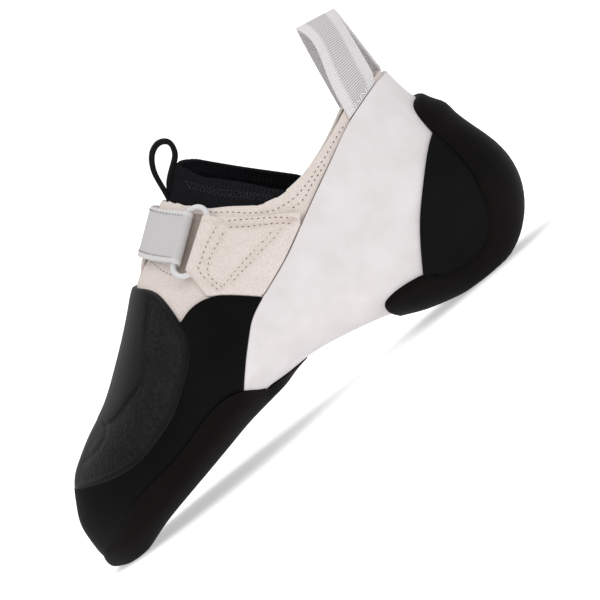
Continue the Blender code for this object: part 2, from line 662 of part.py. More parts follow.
def make_keeper(finish, ring):
    """The folded edge of the side panel that holds the ring's far bar."""
    inside = RING_WIRE / 2 + CLEARANCE
    turns = np.linspace(0, 2 * math.pi, 10, endpoint=False)
    grids = []
    for radius in (inside, inside + KEEPER_WALL):
        rows = []
        for along in (-KEEPER_LENGTH / 2, KEEPER_LENGTH / 2):
            rows.append([ring.point(along, ring.bar + radius * math.cos(t), radius * math.sin(t)) for t in turns])
        grids.append(np.array(rows))
    shell_between("ring_keeper", finish, *grids, closed=True)


def make_tongue_loop(finish):
    """The thin pull tape on the front of the knitted tongue."""
    line = np.array([shoe_xz(p) for p in TONGUE_LOOP])
    middle_y = surface(14, 0.5)[1]
    before = unit(line - np.roll(line, 1, axis=0))
    after = unit(np.roll(line, -1, axis=0) - line)
    side = unit(before + after)[:, ::-1] * np.array([1, -1])
    lean = np.sum(unit(before + after) * before, axis=1)
    half = TONGUE_LOOP_THICKNESS / 2
    mitre = half / np.maximum(lean, SHARPEST_MITRE)
    outer, inner = line + side * mitre[:, None], line - side * mitre[:, None]
    outer[0] = line[0] + side[0] * half
    grids = []
    for edge in (inner, outer):
        ys = (middle_y - TONGUE_LOOP_WIDTH / 2, middle_y + TONGUE_LOOP_WIDTH / 2)
        grids.append(np.array([[(x, y, z) for x, z in edge] for y in ys]))
    shell_between("tongue_loop", finish, *grids, closed=True)


def between(pair, share):
    """A point on the straight line between two points of the side view, in metres."""
    start, end = (np.array(shoe_xz(p)) for p in pair)
    return start + (end - start) * share


def make_heel_loop(finish):
    """The webbing loop that stands over the heel opening, sewn on both outer sides."""
    lift = CLEARANCE + HEEL_LOOP_THICKNESS / 2
    columns = []
    for share in np.linspace(0, 1, 5):
        places = [between(pair, share) for pair in (HEEL_LOOP_FOOT, HEEL_LOOP_COLLAR)]
        legs = [[offset_point(*locate(x + back, z, outer_side), lift) for x, z in places]
                for outer_side, back in ((True, 0.0), (False, HEEL_LOOP_SET_BACK))]
        top_x, top_z = between(HEEL_LOOP_TOP, share)
        arch = []
        for angle in np.radians(np.linspace(0, 180, 13))[1:-1]:
            start = legs[0][1] if angle <= math.pi / 2 else legs[1][1]
            rise = math.sin(angle) ** HEEL_LOOP_FULLNESS
            x = start[0] + (top_x - start[0]) * rise
            z = start[2] + (top_z - start[2]) * rise
            arch.append(np.array([x, start[1] * abs(math.cos(angle)), z]))
        columns.append(legs[0] + arch + legs[1][::-1])
    middle = np.array(columns).transpose(1, 0, 2)
    outward = unit(np.cross(np.gradient(middle, axis=1), np.gradient(middle, axis=0)))
    build_ribbon("heel_loop", finish, middle, outward, HEEL_LOOP_THICKNESS)


def clear_scene():
    for obj in list(bpy.data.objects):
        bpy.data.objects.remove(obj)


def main():
    clear_scene()
    suede = material("suede", (0.72, 0.66, 0.60), 0.9)
    knit = material("black knit", (0.012, 0.012, 0.014), 0.95)
    board = material("insole board", (0.30, 0.28, 0.25), 0.9)
    white_rubber = material("white rubber", (0.80, 0.78, 0.77), 0.45)
    black_rubber = material("black rubber", (0.014, 0.014, 0.015), 0.5)
    webbing = material("grey webbing", (0.62, 0.61, 0.60), 0.8)
    plastic = material("ring plastic", (0.70, 0.70, 0.70), 0.35)
    make_upper(suede)
    make_sock(knit)
    make_insole(board)
    make_forefoot_rand(black_rubber)
    make_toe_patch(black_rubber)
    make_heel_rand(white_rubber)
    cut_flat(make_outsole(black_rubber), make_heel_band(black_rubber))
    make_heel_cups(black_rubber)
    make_side_panels(suede)
    ring = RingFrame()
    make_strap(webbing, ring)
    make_ring(plastic, ring)
    make_keeper(suede, ring)
    make_tongue_loop(knit)
    make_heel_loop(webbing)


main()
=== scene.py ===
# %% [markdown]
# # A climbing shoe, piece by piece
# This lesson dresses the solid model of a downturned climbing shoe with its real surfaces: suede,
# knit, rubber, webbing and thread. The solids arrive already placed, so every new piece only has to
# follow the same last, which is the foot-shaped block that a shoe is pulled over.
# %% Load the solid model
import math

import bmesh
import bpy
import numpy as np
from mathutils import Matrix, Vector


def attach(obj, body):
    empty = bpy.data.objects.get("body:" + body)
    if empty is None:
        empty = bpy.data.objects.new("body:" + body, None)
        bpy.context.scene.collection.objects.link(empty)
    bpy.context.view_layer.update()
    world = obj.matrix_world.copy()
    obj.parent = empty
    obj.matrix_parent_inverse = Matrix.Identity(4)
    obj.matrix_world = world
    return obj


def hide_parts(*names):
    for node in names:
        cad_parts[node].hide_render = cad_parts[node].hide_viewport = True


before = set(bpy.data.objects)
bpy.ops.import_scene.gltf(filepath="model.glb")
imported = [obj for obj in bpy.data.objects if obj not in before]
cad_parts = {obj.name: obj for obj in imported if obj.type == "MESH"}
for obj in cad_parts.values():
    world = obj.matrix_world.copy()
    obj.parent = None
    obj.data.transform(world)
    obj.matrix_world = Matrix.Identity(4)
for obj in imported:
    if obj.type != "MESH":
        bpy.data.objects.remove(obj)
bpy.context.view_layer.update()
print("solids:", ", ".join(sorted(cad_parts)))

# %% [markdown]
# ## The last
# A shoemaker's last is described by its sections: slices from the toe, round the heel and up to the
# collar. Each slice needs a ridge point, a ground point and two half widths. A smooth curve through
# the rows of this table gives every slice in between, so all the pieces share one foot shape.
# %% Sections of the last
SHOE_LENGTH, INSTEP_HEIGHT, BALL_WIDTH = 0.2450, 0.1225, 0.0860
HEEL_POINT = 0.845
CLEARANCE, RAND, PATCH, PANEL = 0.0003, 0.0015, 0.0020, 0.0013
SOLE, SOLE_EDGE, BAND, CUP = 0.0038, 0.0009, 0.0030, 0.0012

# ridge x, ridge z, ground x, ground z, ridge y, outer width, inner width,
# skew, low fullness, high fullness, sole share, band share
SECTIONS = np.array([
    (0.014, 0.135, 0.014, 0.135, 0.151, 0.000, 0.000, 1.10, 0.85, 0.95, 0.30, 0),
    (0.018, 0.204, 0.014, 0.029, 0.149, 0.093, 0.087, 1.10, 0.85, 0.95, 0.75, 0),
    (0.029, 0.264, 0.025, 0.003, 0.143, 0.184, 0.163, 1.15, 0.82, 0.95, 1, 0),
    (0.048, 0.326, 0.045, -0.010, 0.134, 0.277, 0.219, 1.20, 0.80, 0.95, 1, 0),
    (0.078, 0.371, 0.073, -0.001, 0.122, 0.372, 0.267, 1.25, 0.78, 0.95, 1, 0),
    (0.122, 0.421, 0.118, 0.031, 0.110, 0.477, 0.314, 1.30, 0.76, 0.95, 1, 0),
    (0.176, 0.472, 0.176, 0.059, 0.099, 0.547, 0.355, 1.35, 0.75, 0.95, 1, 0),
    (0.231, 0.547, 0.239, 0.084, 0.087, 0.587, 0.384, 1.35, 0.75, 0.95, 1, 0),
    (0.282, 0.625, 0.302, 0.109, 0.076, 0.599, 0.395, 1.35, 0.75, 0.98, 1, 0),
    (0.330, 0.707, 0.371, 0.132, 0.064, 0.587, 0.378, 1.30, 0.78, 1.00, 1, 0),
    (0.369, 0.778, 0.441, 0.147, 0.052, 0.547, 0.349, 1.25, 0.82, 1.02, 0.70, 0),
    (0.404, 0.828, 0.510, 0.162, 0.041, 0.494, 0.326, 1.20, 0.86, 1.04, 0.40, 0),
    (0.435, 0.867, 0.584, 0.147, 0.029, 0.448, 0.320, 1.15, 0.90, 1.04, 0.10, 0),
    (0.459, 0.900, 0.665, 0.108, 0.021, 0.416, 0.328, 1.12, 0.90, 1.02, 0, 0),
    (0.477, 0.925, 0.755, 0.029, 0.014, 0.395, 0.343, 1.12, 0.88, 1.00, 0, 1),
    (0.489, 0.944, 0.845, -0.005, 0.009, 0.384, 0.358, 1.15, 0.86, 1.00, 0, 1),
    (0.498, 0.960, 0.924, 0.028, 0.005, 0.374, 0.360, 1.20, 0.86, 1.00, 0, 1),
    (0.505, 0.971, 0.982, 0.143, 0.002, 0.366, 0.360, 1.25, 0.88, 1.00, 0, 1),
    (0.510, 0.980, 0.998, 0.282, 0.000, 0.360, 0.358, 1.28, 0.90, 1.00, 0, 1),
    (0.515, 0.988, 0.984, 0.410, 0.000, 0.352, 0.352, 1.25, 0.90, 1.00, 0, 1),
    (0.518, 0.993, 0.968, 0.530, 0.000, 0.343, 0.343, 1.20, 0.90, 1.00, 0, 1),
    (0.522, 0.998, 0.943, 0.653, 0.000, 0.334, 0.334, 1.15, 0.90, 1.00, 0, 0.6),
    (0.524, 1.001, 0.927, 0.808, 0.000, 0.326, 0.326, 1.10, 0.90, 1.00, 0, 0),
])
LAST_ROW = len(SECTIONS) - 1


def side_place(x_share, z_share):
    """A place in the side view, in metres, from shares of the length and the height."""
    return ((x_share - HEEL_POINT) * SHOE_LENGTH, z_share * INSTEP_HEIGHT)


def smooth_through(rows, t):
    """Points of a natural spline through evenly spaced rows."""
    rows = np.asarray(rows, float)
    n = len(rows)
    system, right = np.eye(n), np.zeros_like(rows)
    for i in range(1, n - 1):
        system[i, i - 1:i + 2] = (1, 4, 1)
        right[i] = 6 * (rows[i + 1] - 2 * rows[i] + rows[i - 1])
    bend = np.linalg.solve(system, right)
    i = np.clip(np.floor(t).astype(int), 0, n - 2)
    b = (t - i)[..., None]
    a = 1 - b
    return a * rows[i] + b * rows[i + 1] + ((a**3 - a) * bend[i] + (b**3 - b) * bend[i + 1]) / 6


def last_rows():
    """The sections in metres, with the ground line lifted by the rubber under it."""
    rows = SECTIONS[:, :11].copy()
    rows[:, [0, 2]] = (rows[:, [0, 2]] - HEEL_POINT) * SHOE_LENGTH
    rows[:, [1, 3]] *= INSTEP_HEIGHT
    rows[:, 4:7] *= BALL_WIDTH
    under_toes, under_heel = SECTIONS[:, 10:].T
    stack = CLEARANCE + RAND + under_toes * (CLEARANCE + SOLE) + under_heel * (CLEARANCE + BAND)
    up = rows[:, 0:2] - rows[:, 2:4]
    height = np.linalg.norm(up, axis=1, keepdims=True)
    rows[:, 2:4] += np.where(height > 0, up / np.maximum(height, 1e-9), 0) * stack[:, None]
    ghost = rows[1].copy()
    ghost[0:2], ghost[2:4] = rows[1, 2:4], rows[1, 0:2]
    ghost[5:7] = -rows[1, 5:7]
    return np.vstack([ghost, rows])


LAST = last_rows()
print("sections:", len(SECTIONS), "rows")

# %% [markdown]
# Every point of the last has two coordinates. u counts the sections from the toe to the collar, and
# v goes once round a section: 0 under the foot, 0.25 on the outer side, 0.5 on the ridge. A layer of
# leather or rubber is then just a distance outwards along the normal.
# %% Points on the last
def last_point(u, v):
    """The place of section u and turn v on the last."""
    u, v = np.broadcast_arrays(np.asarray(u, float), np.asarray(v, float))
    row = np.moveaxis(smooth_through(LAST, u + 1), -1, 0)
    top_x, top_z, low_x, low_z, ridge_y, outer, inner, skew, low, high = row[:10]
    v = v % 1.0
    turn = 2 * np.pi * np.minimum(v, 1 - v)
    share = turn / np.pi
    full = low + (high - low) * share * share * (3 - 2 * share)
    height = ((1 - np.cos(turn)) / 2) ** skew
    half = np.where(v <= 0.5, -outer, inner) * np.maximum(np.sin(turn), 0) ** full
    x, z = low_x + (top_x - low_x) * height, low_z + (top_z - low_z) * height
    return np.stack([x, ridge_y + half, z], -1)


def last_normal(u, v):
    """The direction straight out of the last."""
    u, v = np.broadcast_arrays(np.asarray(u, float), np.asarray(v, float))
    u = np.maximum(u, 0.03)
    along = last_point(u + 1e-3, v) - last_point(u - 1e-3, v)
    around = last_point(u, v + 1e-3) - last_point(u, v - 1e-3)
    n = np.cross(along, around)
    return n / np.linalg.norm(n, axis=-1, keepdims=True)


def off_last(u, v, distance):
    """A point at a distance outside the last."""
    at_tip = (np.asarray(u, float) < 1e-6)[..., None]
    n = np.where(at_tip, np.array([-1.0, 0.0, 0.0]), last_normal(u, v))
    return last_point(u, v) + n * np.asarray(distance, float)[..., None]


def find_on_last(x, z, outer=True):
    """The (u, v) whose point shows at (x, z) in the side view."""
    low, high = (0.02, 0.49) if outer else (0.51, 0.98)
    us, vs = np.meshgrid(np.linspace(0.3, LAST_ROW, 90), np.linspace(low, high, 60), indexing="ij")
    miss = np.linalg.norm(last_point(us, vs)[..., ::2] - (x, z), axis=-1)
    k = np.unravel_index(np.argmin(miss), miss.shape)
    place, h = np.array([us[k], vs[k]]), 1e-4
    for _ in range(8):
        here = last_point(*place)[::2]
        slope = np.stack([(last_point(place[0] + h, place[1])[::2] - here) / h,
                          (last_point(place[0], place[1] + h)[::2] - here) / h], 1)
        place = place + np.clip(np.linalg.lstsq(slope, (x, z) - here, rcond=None)[0], -0.3, 0.3)
        place = np.clip(place, (0.3, low), (LAST_ROW, high))
    return place


def unit(vector):
    return vector / np.linalg.norm(vector, axis=-1, keepdims=True)


print("ridge over the instep:", last_point(11.6, 0.5).round(4))

# %% [markdown]
# ## Cutting a sheet to its pattern
# A pattern cutter lays a flat sheet on the last and cuts along a drawn line. Here the flat sheet is a
# grid in (u, v). The drawn line is a closed outline in the side view, and each vertex knows how far
# inside the line it is. Grid edges are split where that distance passes a level, so the border is
# exact, and a few more levels just inside it leave rows of edges for a rounded rim.
# %% Outlines
def drawn(points, fineness=6):
    """A drawn line in metres, smooth through its own points."""
    rows = [side_place(*p) for p in points]
    spans = len(rows) - 1
    return [tuple(p) for p in smooth_through(rows, np.linspace(0, spans, spans * fineness + 1))]


def both_forms(rows):
    """A line's outer and inner form. Each row also says how much lower the inner form is."""
    return drawn([(x, z) for x, z, _ in rows]), drawn([(x, z - lower) for x, z, lower in rows])


def moved(line, dx=0.0, dz=0.0):
    return [(x + dx, z + dz) for x, z in line]


def far(*shares):
    """Corners that close an outline well away from the shoe."""
    return [side_place(*share) for share in shares]


def inside_outline(points, outline):
    """Signed distance inside a closed outline, and the direction to its nearest place."""
    a = np.array(outline)
    b = np.roll(a, -1, axis=0)
    run = b - a
    length = np.maximum((run**2).sum(1), 1e-16)
    best = np.full(len(points), 9.0)
    way = np.zeros((len(points), 2))
    odd = np.zeros(len(points), bool)
    for start, end, step, size in zip(a, b, run, length):
        t = np.clip(((points - start) @ step) / size, 0, 1)
        gap = start + t[:, None] * step - points
        distance = np.hypot(gap[:, 0], gap[:, 1])
        closer = distance < best
        best[closer] = distance[closer]
        way[closer] = gap[closer] / np.maximum(distance[closer], 1e-9)[:, None]
        spans = (start[1] > points[:, 1]) != (end[1] > points[:, 1])
        if abs(step[1]) > 1e-12:
            odd ^= spans & (points[:, 0] < start[0] + (points[:, 1] - start[1]) * step[0] / step[1])
    return np.where(odd, best, -best), way


ROW_SPAN, TURN_SPAN = 0.011, 0.220  # metres on the flat sheet for one row and one turn
SIDE_CHANGE = 0.015  # a line passes from its outer form to its inner one between these distances


def line_on_last(outline, depth=0.0, inner=None):
    """How far inside the outline a place of the flat sheet is, measured on the last."""
    def reach(flat):
        u, v = flat[:, 0] / ROW_SPAN, flat[:, 1] / TURN_SPAN
        p, n = off_last(u, v, np.full(len(u), depth)), last_normal(u, v)
        gap, way = inside_outline(p[:, [0, 2]], outline)
        if inner is not None:
            share = np.clip((p[:, 1] + SIDE_CHANGE) / (2 * SIDE_CHANGE), 0, 1)
            gap = gap * (1 - share) + inside_outline(p[:, [0, 2]], inner)[0] * share
        lean = n[:, 0] * way[:, 0] + n[:, 2] * way[:, 1]
        return gap / np.sqrt(np.maximum(1 - lean**2, 0.09))
    return reach


print("one turn of the flat sheet:", TURN_SPAN, "m")

# %% [markdown]
# The sheet is one of Blender's grids. Cutting it means three small steps: slide the points that are
# almost on the line onto it, split the edges that cross it, and delete the faces outside.
# %% The flat sheet and its cuts
def flat_sheet(rows, turns, step):
    bm = bmesh.new()
    along, around = (rows[1] - rows[0]) * ROW_SPAN, (turns[1] - turns[0]) * TURN_SPAN
    bmesh.ops.create_grid(bm, x_segments=round(along / step), y_segments=round(around / step), size=0.5)
    bmesh.ops.scale(bm, vec=(along, around, 1), verts=bm.verts)
    middle = ((rows[0] + rows[1]) / 2 * ROW_SPAN, (turns[0] + turns[1]) / 2 * TURN_SPAN, 0)
    bmesh.ops.translate(bm, vec=middle, verts=bm.verts)
    return bm


def cut_level(bm, reach, level, step, taken):
    """Splits the sheet along the places that lie at this level inside the line. Grid points close by
    slide onto the level, unless they are already taken by another line."""
    verts = list(bm.verts)
    flat = np.array([vert.co[:2] for vert in verts])
    gap = reach(flat) - level
    near = (np.abs(gap) < 0.2 * step) & np.array([vert not in taken for vert in verts])
    if near.any():
        h, at = 1e-5, flat[near]
        here = reach(at)
        slope = np.stack([reach(at + (h, 0)) - here, reach(at + (0, h)) - here], 1) / h
        slide = -gap[near][:, None] * slope / np.maximum((slope**2).sum(1, keepdims=True), 0.25)
        for k, (dx, dy) in zip(np.flatnonzero(near), slide):
            verts[k].co += Vector((dx, dy, 0))
        gap[near] = 0
    bm.verts.index_update()
    value = dict(zip(verts, gap))
    on_line = [verts[k] for k in np.flatnonzero(near)]
    crossed = [e for e in bm.edges if value[e.verts[0]] * value[e.verts[1]] < 0]
    for edge in crossed:
        a, b = (value[vert] for vert in edge.verts)
        on_line.append(bmesh.utils.edge_split(edge, edge.verts[0], a / (a - b))[1])
    bmesh.ops.connect_verts(bm, verts=on_line)
    taken.update(on_line)


def drop_outside(bm, reach, step):
    """Removes the cut-off part of the sheet."""
    verts = list(bm.verts)
    gap = reach(np.array([vert.co[:2] for vert in verts]))
    outside = {vert for vert, g in zip(verts, gap) if g < -0.02 * step}
    waste = [f for f in bm.faces if any(vert in outside for vert in f.verts)]
    bmesh.ops.delete(bm, geom=waste, context="FACES")


print("one row of the flat sheet:", ROW_SPAN, "m")

# %% [markdown]
# A finished mesh becomes an object of the scene. It rides on the shoe's one body, it gets its finishes,
# and the plain solids it stands in for are hidden.
# %% Into the scene
def place_object(name, data):
    """Puts a mesh, a light or a camera into the scene."""
    thing = bpy.data.objects.new(name, data)
    bpy.context.scene.collection.objects.link(thing)
    return thing


def link_piece(bm, name, finish, nodes=()):
    """Turns a bmesh into a piece of the shoe, smooth but for its sharp corners."""
    for edge in bm.edges:
        edge.smooth = edge.calc_face_angle(0.0) < math.radians(60)
    mesh = bpy.data.meshes.new(name)
    bm.to_mesh(mesh)
    bm.free()
    mesh.shade_smooth()
    piece = place_object(name, mesh)
    for layer in finish if isinstance(finish, (list, tuple)) else (finish,):
        mesh.materials.append(layer)
    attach(piece, "root")
    if nodes:
        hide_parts(*nodes)
    print(f"{name}: {len(mesh.polygons)} faces")
    return piece


def thicken(piece, thickness, offset=-1, inside=0):
    """Gives a sheet its wall, inwards for an offset of -1. With inside at 1, the wall's inner face has
    the second finish."""
    wall = piece.modifiers.new("wall", "SOLIDIFY")
    wall.thickness, wall.offset, wall.material_offset = thickness, offset, inside


print("scene helpers ready")

# %% [markdown]
# One function cuts a piece and lays it on the last. A rubber piece also gets a low wall round its
# border, and each vertex keeps its flat place in millimetres for the weaves.
# %% From the table to the last
def cut_piece(name, finish, rows, turns, reach, height, rim=(), foot=None, relief=(), step=0.0015,
              nodes=(), hole=None, floor=None, marks=None):
    """A piece cut from a flat sheet and laid on the last. rim lists levels inside the line, relief
    levels of other lines, height gives the distance from the last, foot is where the border wall
    ends, and marks are numbers that the finish reads at each vertex."""
    bm = flat_sheet(rows, turns, step)
    taken = set()
    for line, level in [(reach, level) for level in (0.0, *rim)] + list(relief):
        cut_level(bm, line, level, step, taken)
    drop_outside(bm, reach, step)
    if hole:
        spare = [f for f in bm.faces if hole(f.calc_center_median())]
        bmesh.ops.delete(bm, geom=spare, context="FACES")
    if foot is not None:
        flat = np.array([vert.co[:2] for vert in bm.verts])
        at_line = dict(zip(bm.verts, np.abs(reach(flat)) < 2e-4))
        border = [e for e in bm.edges if e.is_boundary and all(at_line[vert] for vert in e.verts)]
        new = bmesh.ops.extrude_edge_only(bm, edges=border)["geom"]
        bmesh.ops.translate(bm, vec=(0, 0, 1), verts=[g for g in new if isinstance(g, bmesh.types.BMVert)])
    cloth = bm.loops.layers.uv.new("cloth")
    layers = {mark: bm.verts.layers.float.new(mark) for mark in marks or {}}
    verts = list(bm.verts)
    flat = np.array([vert.co[:] for vert in verts])
    for face in bm.faces:
        for loop in face.loops:
            loop[cloth].uv = loop.vert.co.xy * 1000
    for mark, layer in layers.items():
        for vert, value in zip(verts, marks[mark](flat[:, :2])):
            vert[layer] = value
    u, v = flat[:, 0] / ROW_SPAN, flat[:, 1] / TURN_SPAN
    depth = height(u, v, np.maximum(reach(flat[:, :2]), 0))
    if foot is not None:
        depth = np.where(flat[:, 2] > 0.5, foot, depth)
    spots = off_last(u, v, depth)
    if floor is not None:
        spots[:, 2] = np.maximum(spots[:, 2], floor)
    for vert, spot in zip(verts, spots):
        vert.co = spot
    bmesh.ops.remove_doubles(bm, verts=bm.verts, dist=2e-6)
    return link_piece(bm, name, finish, nodes)


print("piece cutter ready")

# %% [markdown]
# Rubber is buffed to a rounded rim and leather has soft creases. Both are only a height over the last,
# worked out from the distance to a line.
# %% Rims and grooves
def on_sheet(u, v):
    return np.stack([np.asarray(u) * ROW_SPAN, np.asarray(v) * TURN_SPAN], -1)


def rounded(reach, top, radius):
    """The height of a rubber rim that rounds off towards its line."""
    back = radius - np.clip(reach, 0, radius)
    return top - radius + np.sqrt(np.maximum(radius**2 - back**2, 0))


def rim_levels(radius):
    """The levels inside the line where a rounded rim needs rows of edges."""
    return [radius * share for share in (0.06, 0.2, 0.45, 1.0, 1.6)]


def ease(value, low, high):
    """0 below low, 1 above high, and a soft change between them."""
    t = np.clip((value - low) / (high - low), 0, 1)
    return t * t * (3 - 2 * t)


def beside(lines):
    """How far a place of the flat sheet is from drawn lines, in the side view."""
    def gap(flat):
        p = last_point(flat[:, 0] / ROW_SPAN, flat[:, 1] / TURN_SPAN)[:, [0, 2]]
        near = np.full(len(p), 9.0)
        for line in lines:
            for start, end in zip(np.array(line), np.array(line[1:])):
                run = end - start
                t = np.clip(((p - start) @ run) / max(run @ run, 1e-14), 0, 1)
                near = np.minimum(near, np.linalg.norm(start + t[:, None] * run - p, axis=1))
        return near
    return gap


def groove(lines, depth, width):
    """A soft trough along drawn lines of the side view."""
    gap = beside(lines)
    return lambda u, v: -depth * np.exp(-((gap(on_sheet(u, v)) / width) ** 2))


print("rim rows of a 2 mm rubber:", rim_levels(0.002))

# %% [markdown]
# ## Finishes
# Each finish starts from what the real surface is and how it was made. Colours are picked as sRGB hex
# values and turned to linear light by one function. Patterns are sized in real millimetres, so a
# thread looks like a thread next to the sole it sits on.
# %% Node helpers
def linear(hex_colour):
    parts = [int(hex_colour[i:i + 2], 16) / 255 for i in (1, 3, 5)]
    return (*[p / 12.92 if p <= 0.04045 else ((p + 0.055) / 1.055) ** 2.4 for p in parts], 1)


def add(tree, kind, settings=None, **links):
    """Adds a node. settings are its properties or socket values, links its inputs."""
    node = tree.nodes.new(kind)
    for key, value in (settings or {}).items():
        if isinstance(key, int) or key in node.inputs:
            node.inputs[key].default_value = value
        else:
            setattr(node, key, value)
    for key, source in links.items():
        target = node.inputs[int(key[1:])] if key[0] == "_" else node.inputs[key.replace("_", " ")]
        tree.links.new(source, target)
    return node


def new_finish(name, roughness, shine=0.5, coat=0.0, sheen=0.0):
    finish = bpy.data.materials.new(name)
    finish.use_nodes = True
    tree = finish.node_tree
    shader = tree.nodes["Principled BSDF"]
    values = {"Roughness": roughness, "Specular IOR Level": shine, "Coat Weight": coat, "Sheen Weight": sheen}
    for socket, value in values.items():
        shader.inputs[socket].default_value = value
    return finish, tree, shader


def spots_of(tree, place, millimetres, detail=3.0):
    """Noise whose blobs are about this many millimetres wide."""
    scale = 1000 / millimetres / 2
    return add(tree, "ShaderNodeTexNoise", {"Scale": scale, "Detail": detail}, Vector=place).outputs["Fac"]


def tinted(tree, factor, dark, light, low=0.3, high=0.7):
    ramp = add(tree, "ShaderNodeValToRGB", {}, Fac=factor)
    for end, position, colour in zip(ramp.color_ramp.elements, (low, high), (dark, light)):
        end.position, end.color = position, linear(colour)
    return ramp.outputs["Color"]


def mixed(tree, factor, first, second):
    """Two colours mixed by a number or by a node's output."""
    settings, links = {"data_type": "RGBA"}, {"_6": first, "_7": second}
    if isinstance(factor, float):
        settings[0] = factor
    else:
        links["_0"] = factor
    return add(tree, "ShaderNodeMix", settings, **links).outputs[2]


def bumped(tree, height, millimetres, normal=None, strength=None):
    node = add(tree, "ShaderNodeBump", {"Distance": millimetres / 1000, "Strength": 1.0}, Height=height)
    if normal is not None:
        tree.links.new(normal, node.inputs["Normal"])
    if strength is not None:
        tree.links.new(strength, node.inputs["Strength"])
    return node.outputs["Normal"]


def where_it_is(tree):
    """Object coordinates, which are metres on the shoe."""
    return add(tree, "ShaderNodeTexCoord").outputs["Object"]


print("mid grey in linear light:", linear("#808080")[0])

# %% [markdown]
# Suede is split leather brushed so that its fibres stand up. The nap scatters light, so it has no
# gloss, a little sheen, and soft patches where the fibres lie another way. A number on each vertex,
# called trough, darkens the colour along the folds and sewn rows as painted shade.
# %% Suede
def make_suede(name, deep, plain, fibre_dark, fibre_light):
    finish, tree, shader = new_finish(name, 0.95, shine=0.2, sheen=0.12)
    place = where_it_is(tree)
    patches = spots_of(tree, place, 7.0, 3.0)
    nap = spots_of(tree, place, 0.35, 2.0)
    colour = tinted(tree, patches, deep, plain)
    fibres = tinted(tree, nap, fibre_dark, fibre_light)
    brushed = mixed(tree, 0.4, colour, fibres)
    # where trough is set, the colour turns towards the dark fibre tone: painted shade
    trough = add(tree, "ShaderNodeAttribute", {"attribute_name": "trough"}).outputs["Fac"]
    shaded = mixed(tree, trough, brushed, tinted(tree, nap, fibre_dark, deep))
    tree.links.new(shaded, shader.inputs["Base Color"])
    tree.links.new(bumped(tree, nap, 0.16), shader.inputs["Normal"])
    return finish


SUEDE = make_suede("brushed cream suede", "#D3C8C2", "#DCD2CC", "#C0B2A9", "#E8DFD9")
# A darker copy of the suede, used as painted shade in the slit beside the ring.
SHADED_SUEDE = make_suede("grey suede with painted slit shade", "#A0938B", "#B3A69E", "#85776F", "#C4B8B0")
print("suedes:", SUEDE.name, "|", SHADED_SUEDE.name)

# %% [markdown]
# Shoe rubber is moulded or calendered and then buffed by hand. The black compounds differ by their
# filler: the rand is smooth and matte, the toe patch has a pebbled mould texture and catches more
# light, and the sole is the softest and the dustiest.
# %% Rubbers
def make_rubber(name, dark, light, roughness, shine, grain, depth, cloud=14.0, spread=0.08):
    finish, tree, shader = new_finish(name, roughness, shine)
    place = where_it_is(tree)
    clouds = spots_of(tree, place, cloud, 4.0)
    tree.links.new(tinted(tree, clouds, dark, light), shader.inputs["Base Color"])
    wear = {"To Min": roughness - spread, "To Max": roughness + spread}
    worn = add(tree, "ShaderNodeMapRange", wear, Value=clouds)
    tree.links.new(worn.outputs[0], shader.inputs["Roughness"])
    tree.links.new(bumped(tree, spots_of(tree, place, grain, 4.0), depth), shader.inputs["Normal"])
    return finish


RAND_RUBBER = make_rubber("calendered black rand rubber", "#070607", "#0D0C0E", 0.60, 0.05, 0.7, 0.03)
SOLE_RUBBER = make_rubber("sticky climbing sole rubber", "#080706", "#100D0C", 0.62, 0.05, 0.8, 0.05)
CUP_RUBBER = make_rubber("dished heel rubber", "#070708", "#0D0C0E", 0.55, 0.06, 0.9, 0.03)
WHITE_RUBBER = make_rubber("smooth white tension rubber", "#D2CDCD", "#DBD6D7", 0.50, 0.3, 1.6, 0.03,
                           cloud=6.0, spread=0.05)
print("rubbers:", ", ".join(m.name for m in (RAND_RUBBER, SOLE_RUBBER, CUP_RUBBER, WHITE_RUBBER)))

# %% [markdown]
# The toe patch comes from an engraved mould. Its field is pebbled like leather, in cells of about a
# millimetre and a half, and its rim and its middle plate are smooth. A number on each vertex, called
# grain, says where the pebbles are.
# %% Patch rubber
def make_patch_rubber():
    finish, tree, shader = new_finish("moulded charcoal patch rubber", 0.40, shine=0.08)
    place = where_it_is(tree)
    grain = add(tree, "ShaderNodeAttribute", {"attribute_name": "grain"}).outputs["Fac"]
    cells = add(tree, "ShaderNodeTexVoronoi", {"Scale": 1000 / 1.5, "feature": "SMOOTH_F1"}, Vector=place)
    speckle = spots_of(tree, place, 0.9, 5.0)
    colour = tinted(tree, spots_of(tree, place, 9.0, 4.0), "#0E0E0F", "#151516")
    pebbled = mixed(tree, 0.5, colour, tinted(tree, speckle, "#0A0A0B", "#262628"))
    tree.links.new(mixed(tree, grain, colour, pebbled), shader.inputs["Base Color"])
    smooth = bumped(tree, spots_of(tree, place, 0.6, 3.0), 0.03)
    tree.links.new(bumped(tree, cells.outputs["Distance"], 0.30, smooth, grain), shader.inputs["Normal"])
    return finish


PATCH_RUBBER = make_patch_rubber()
print(PATCH_RUBBER.name)

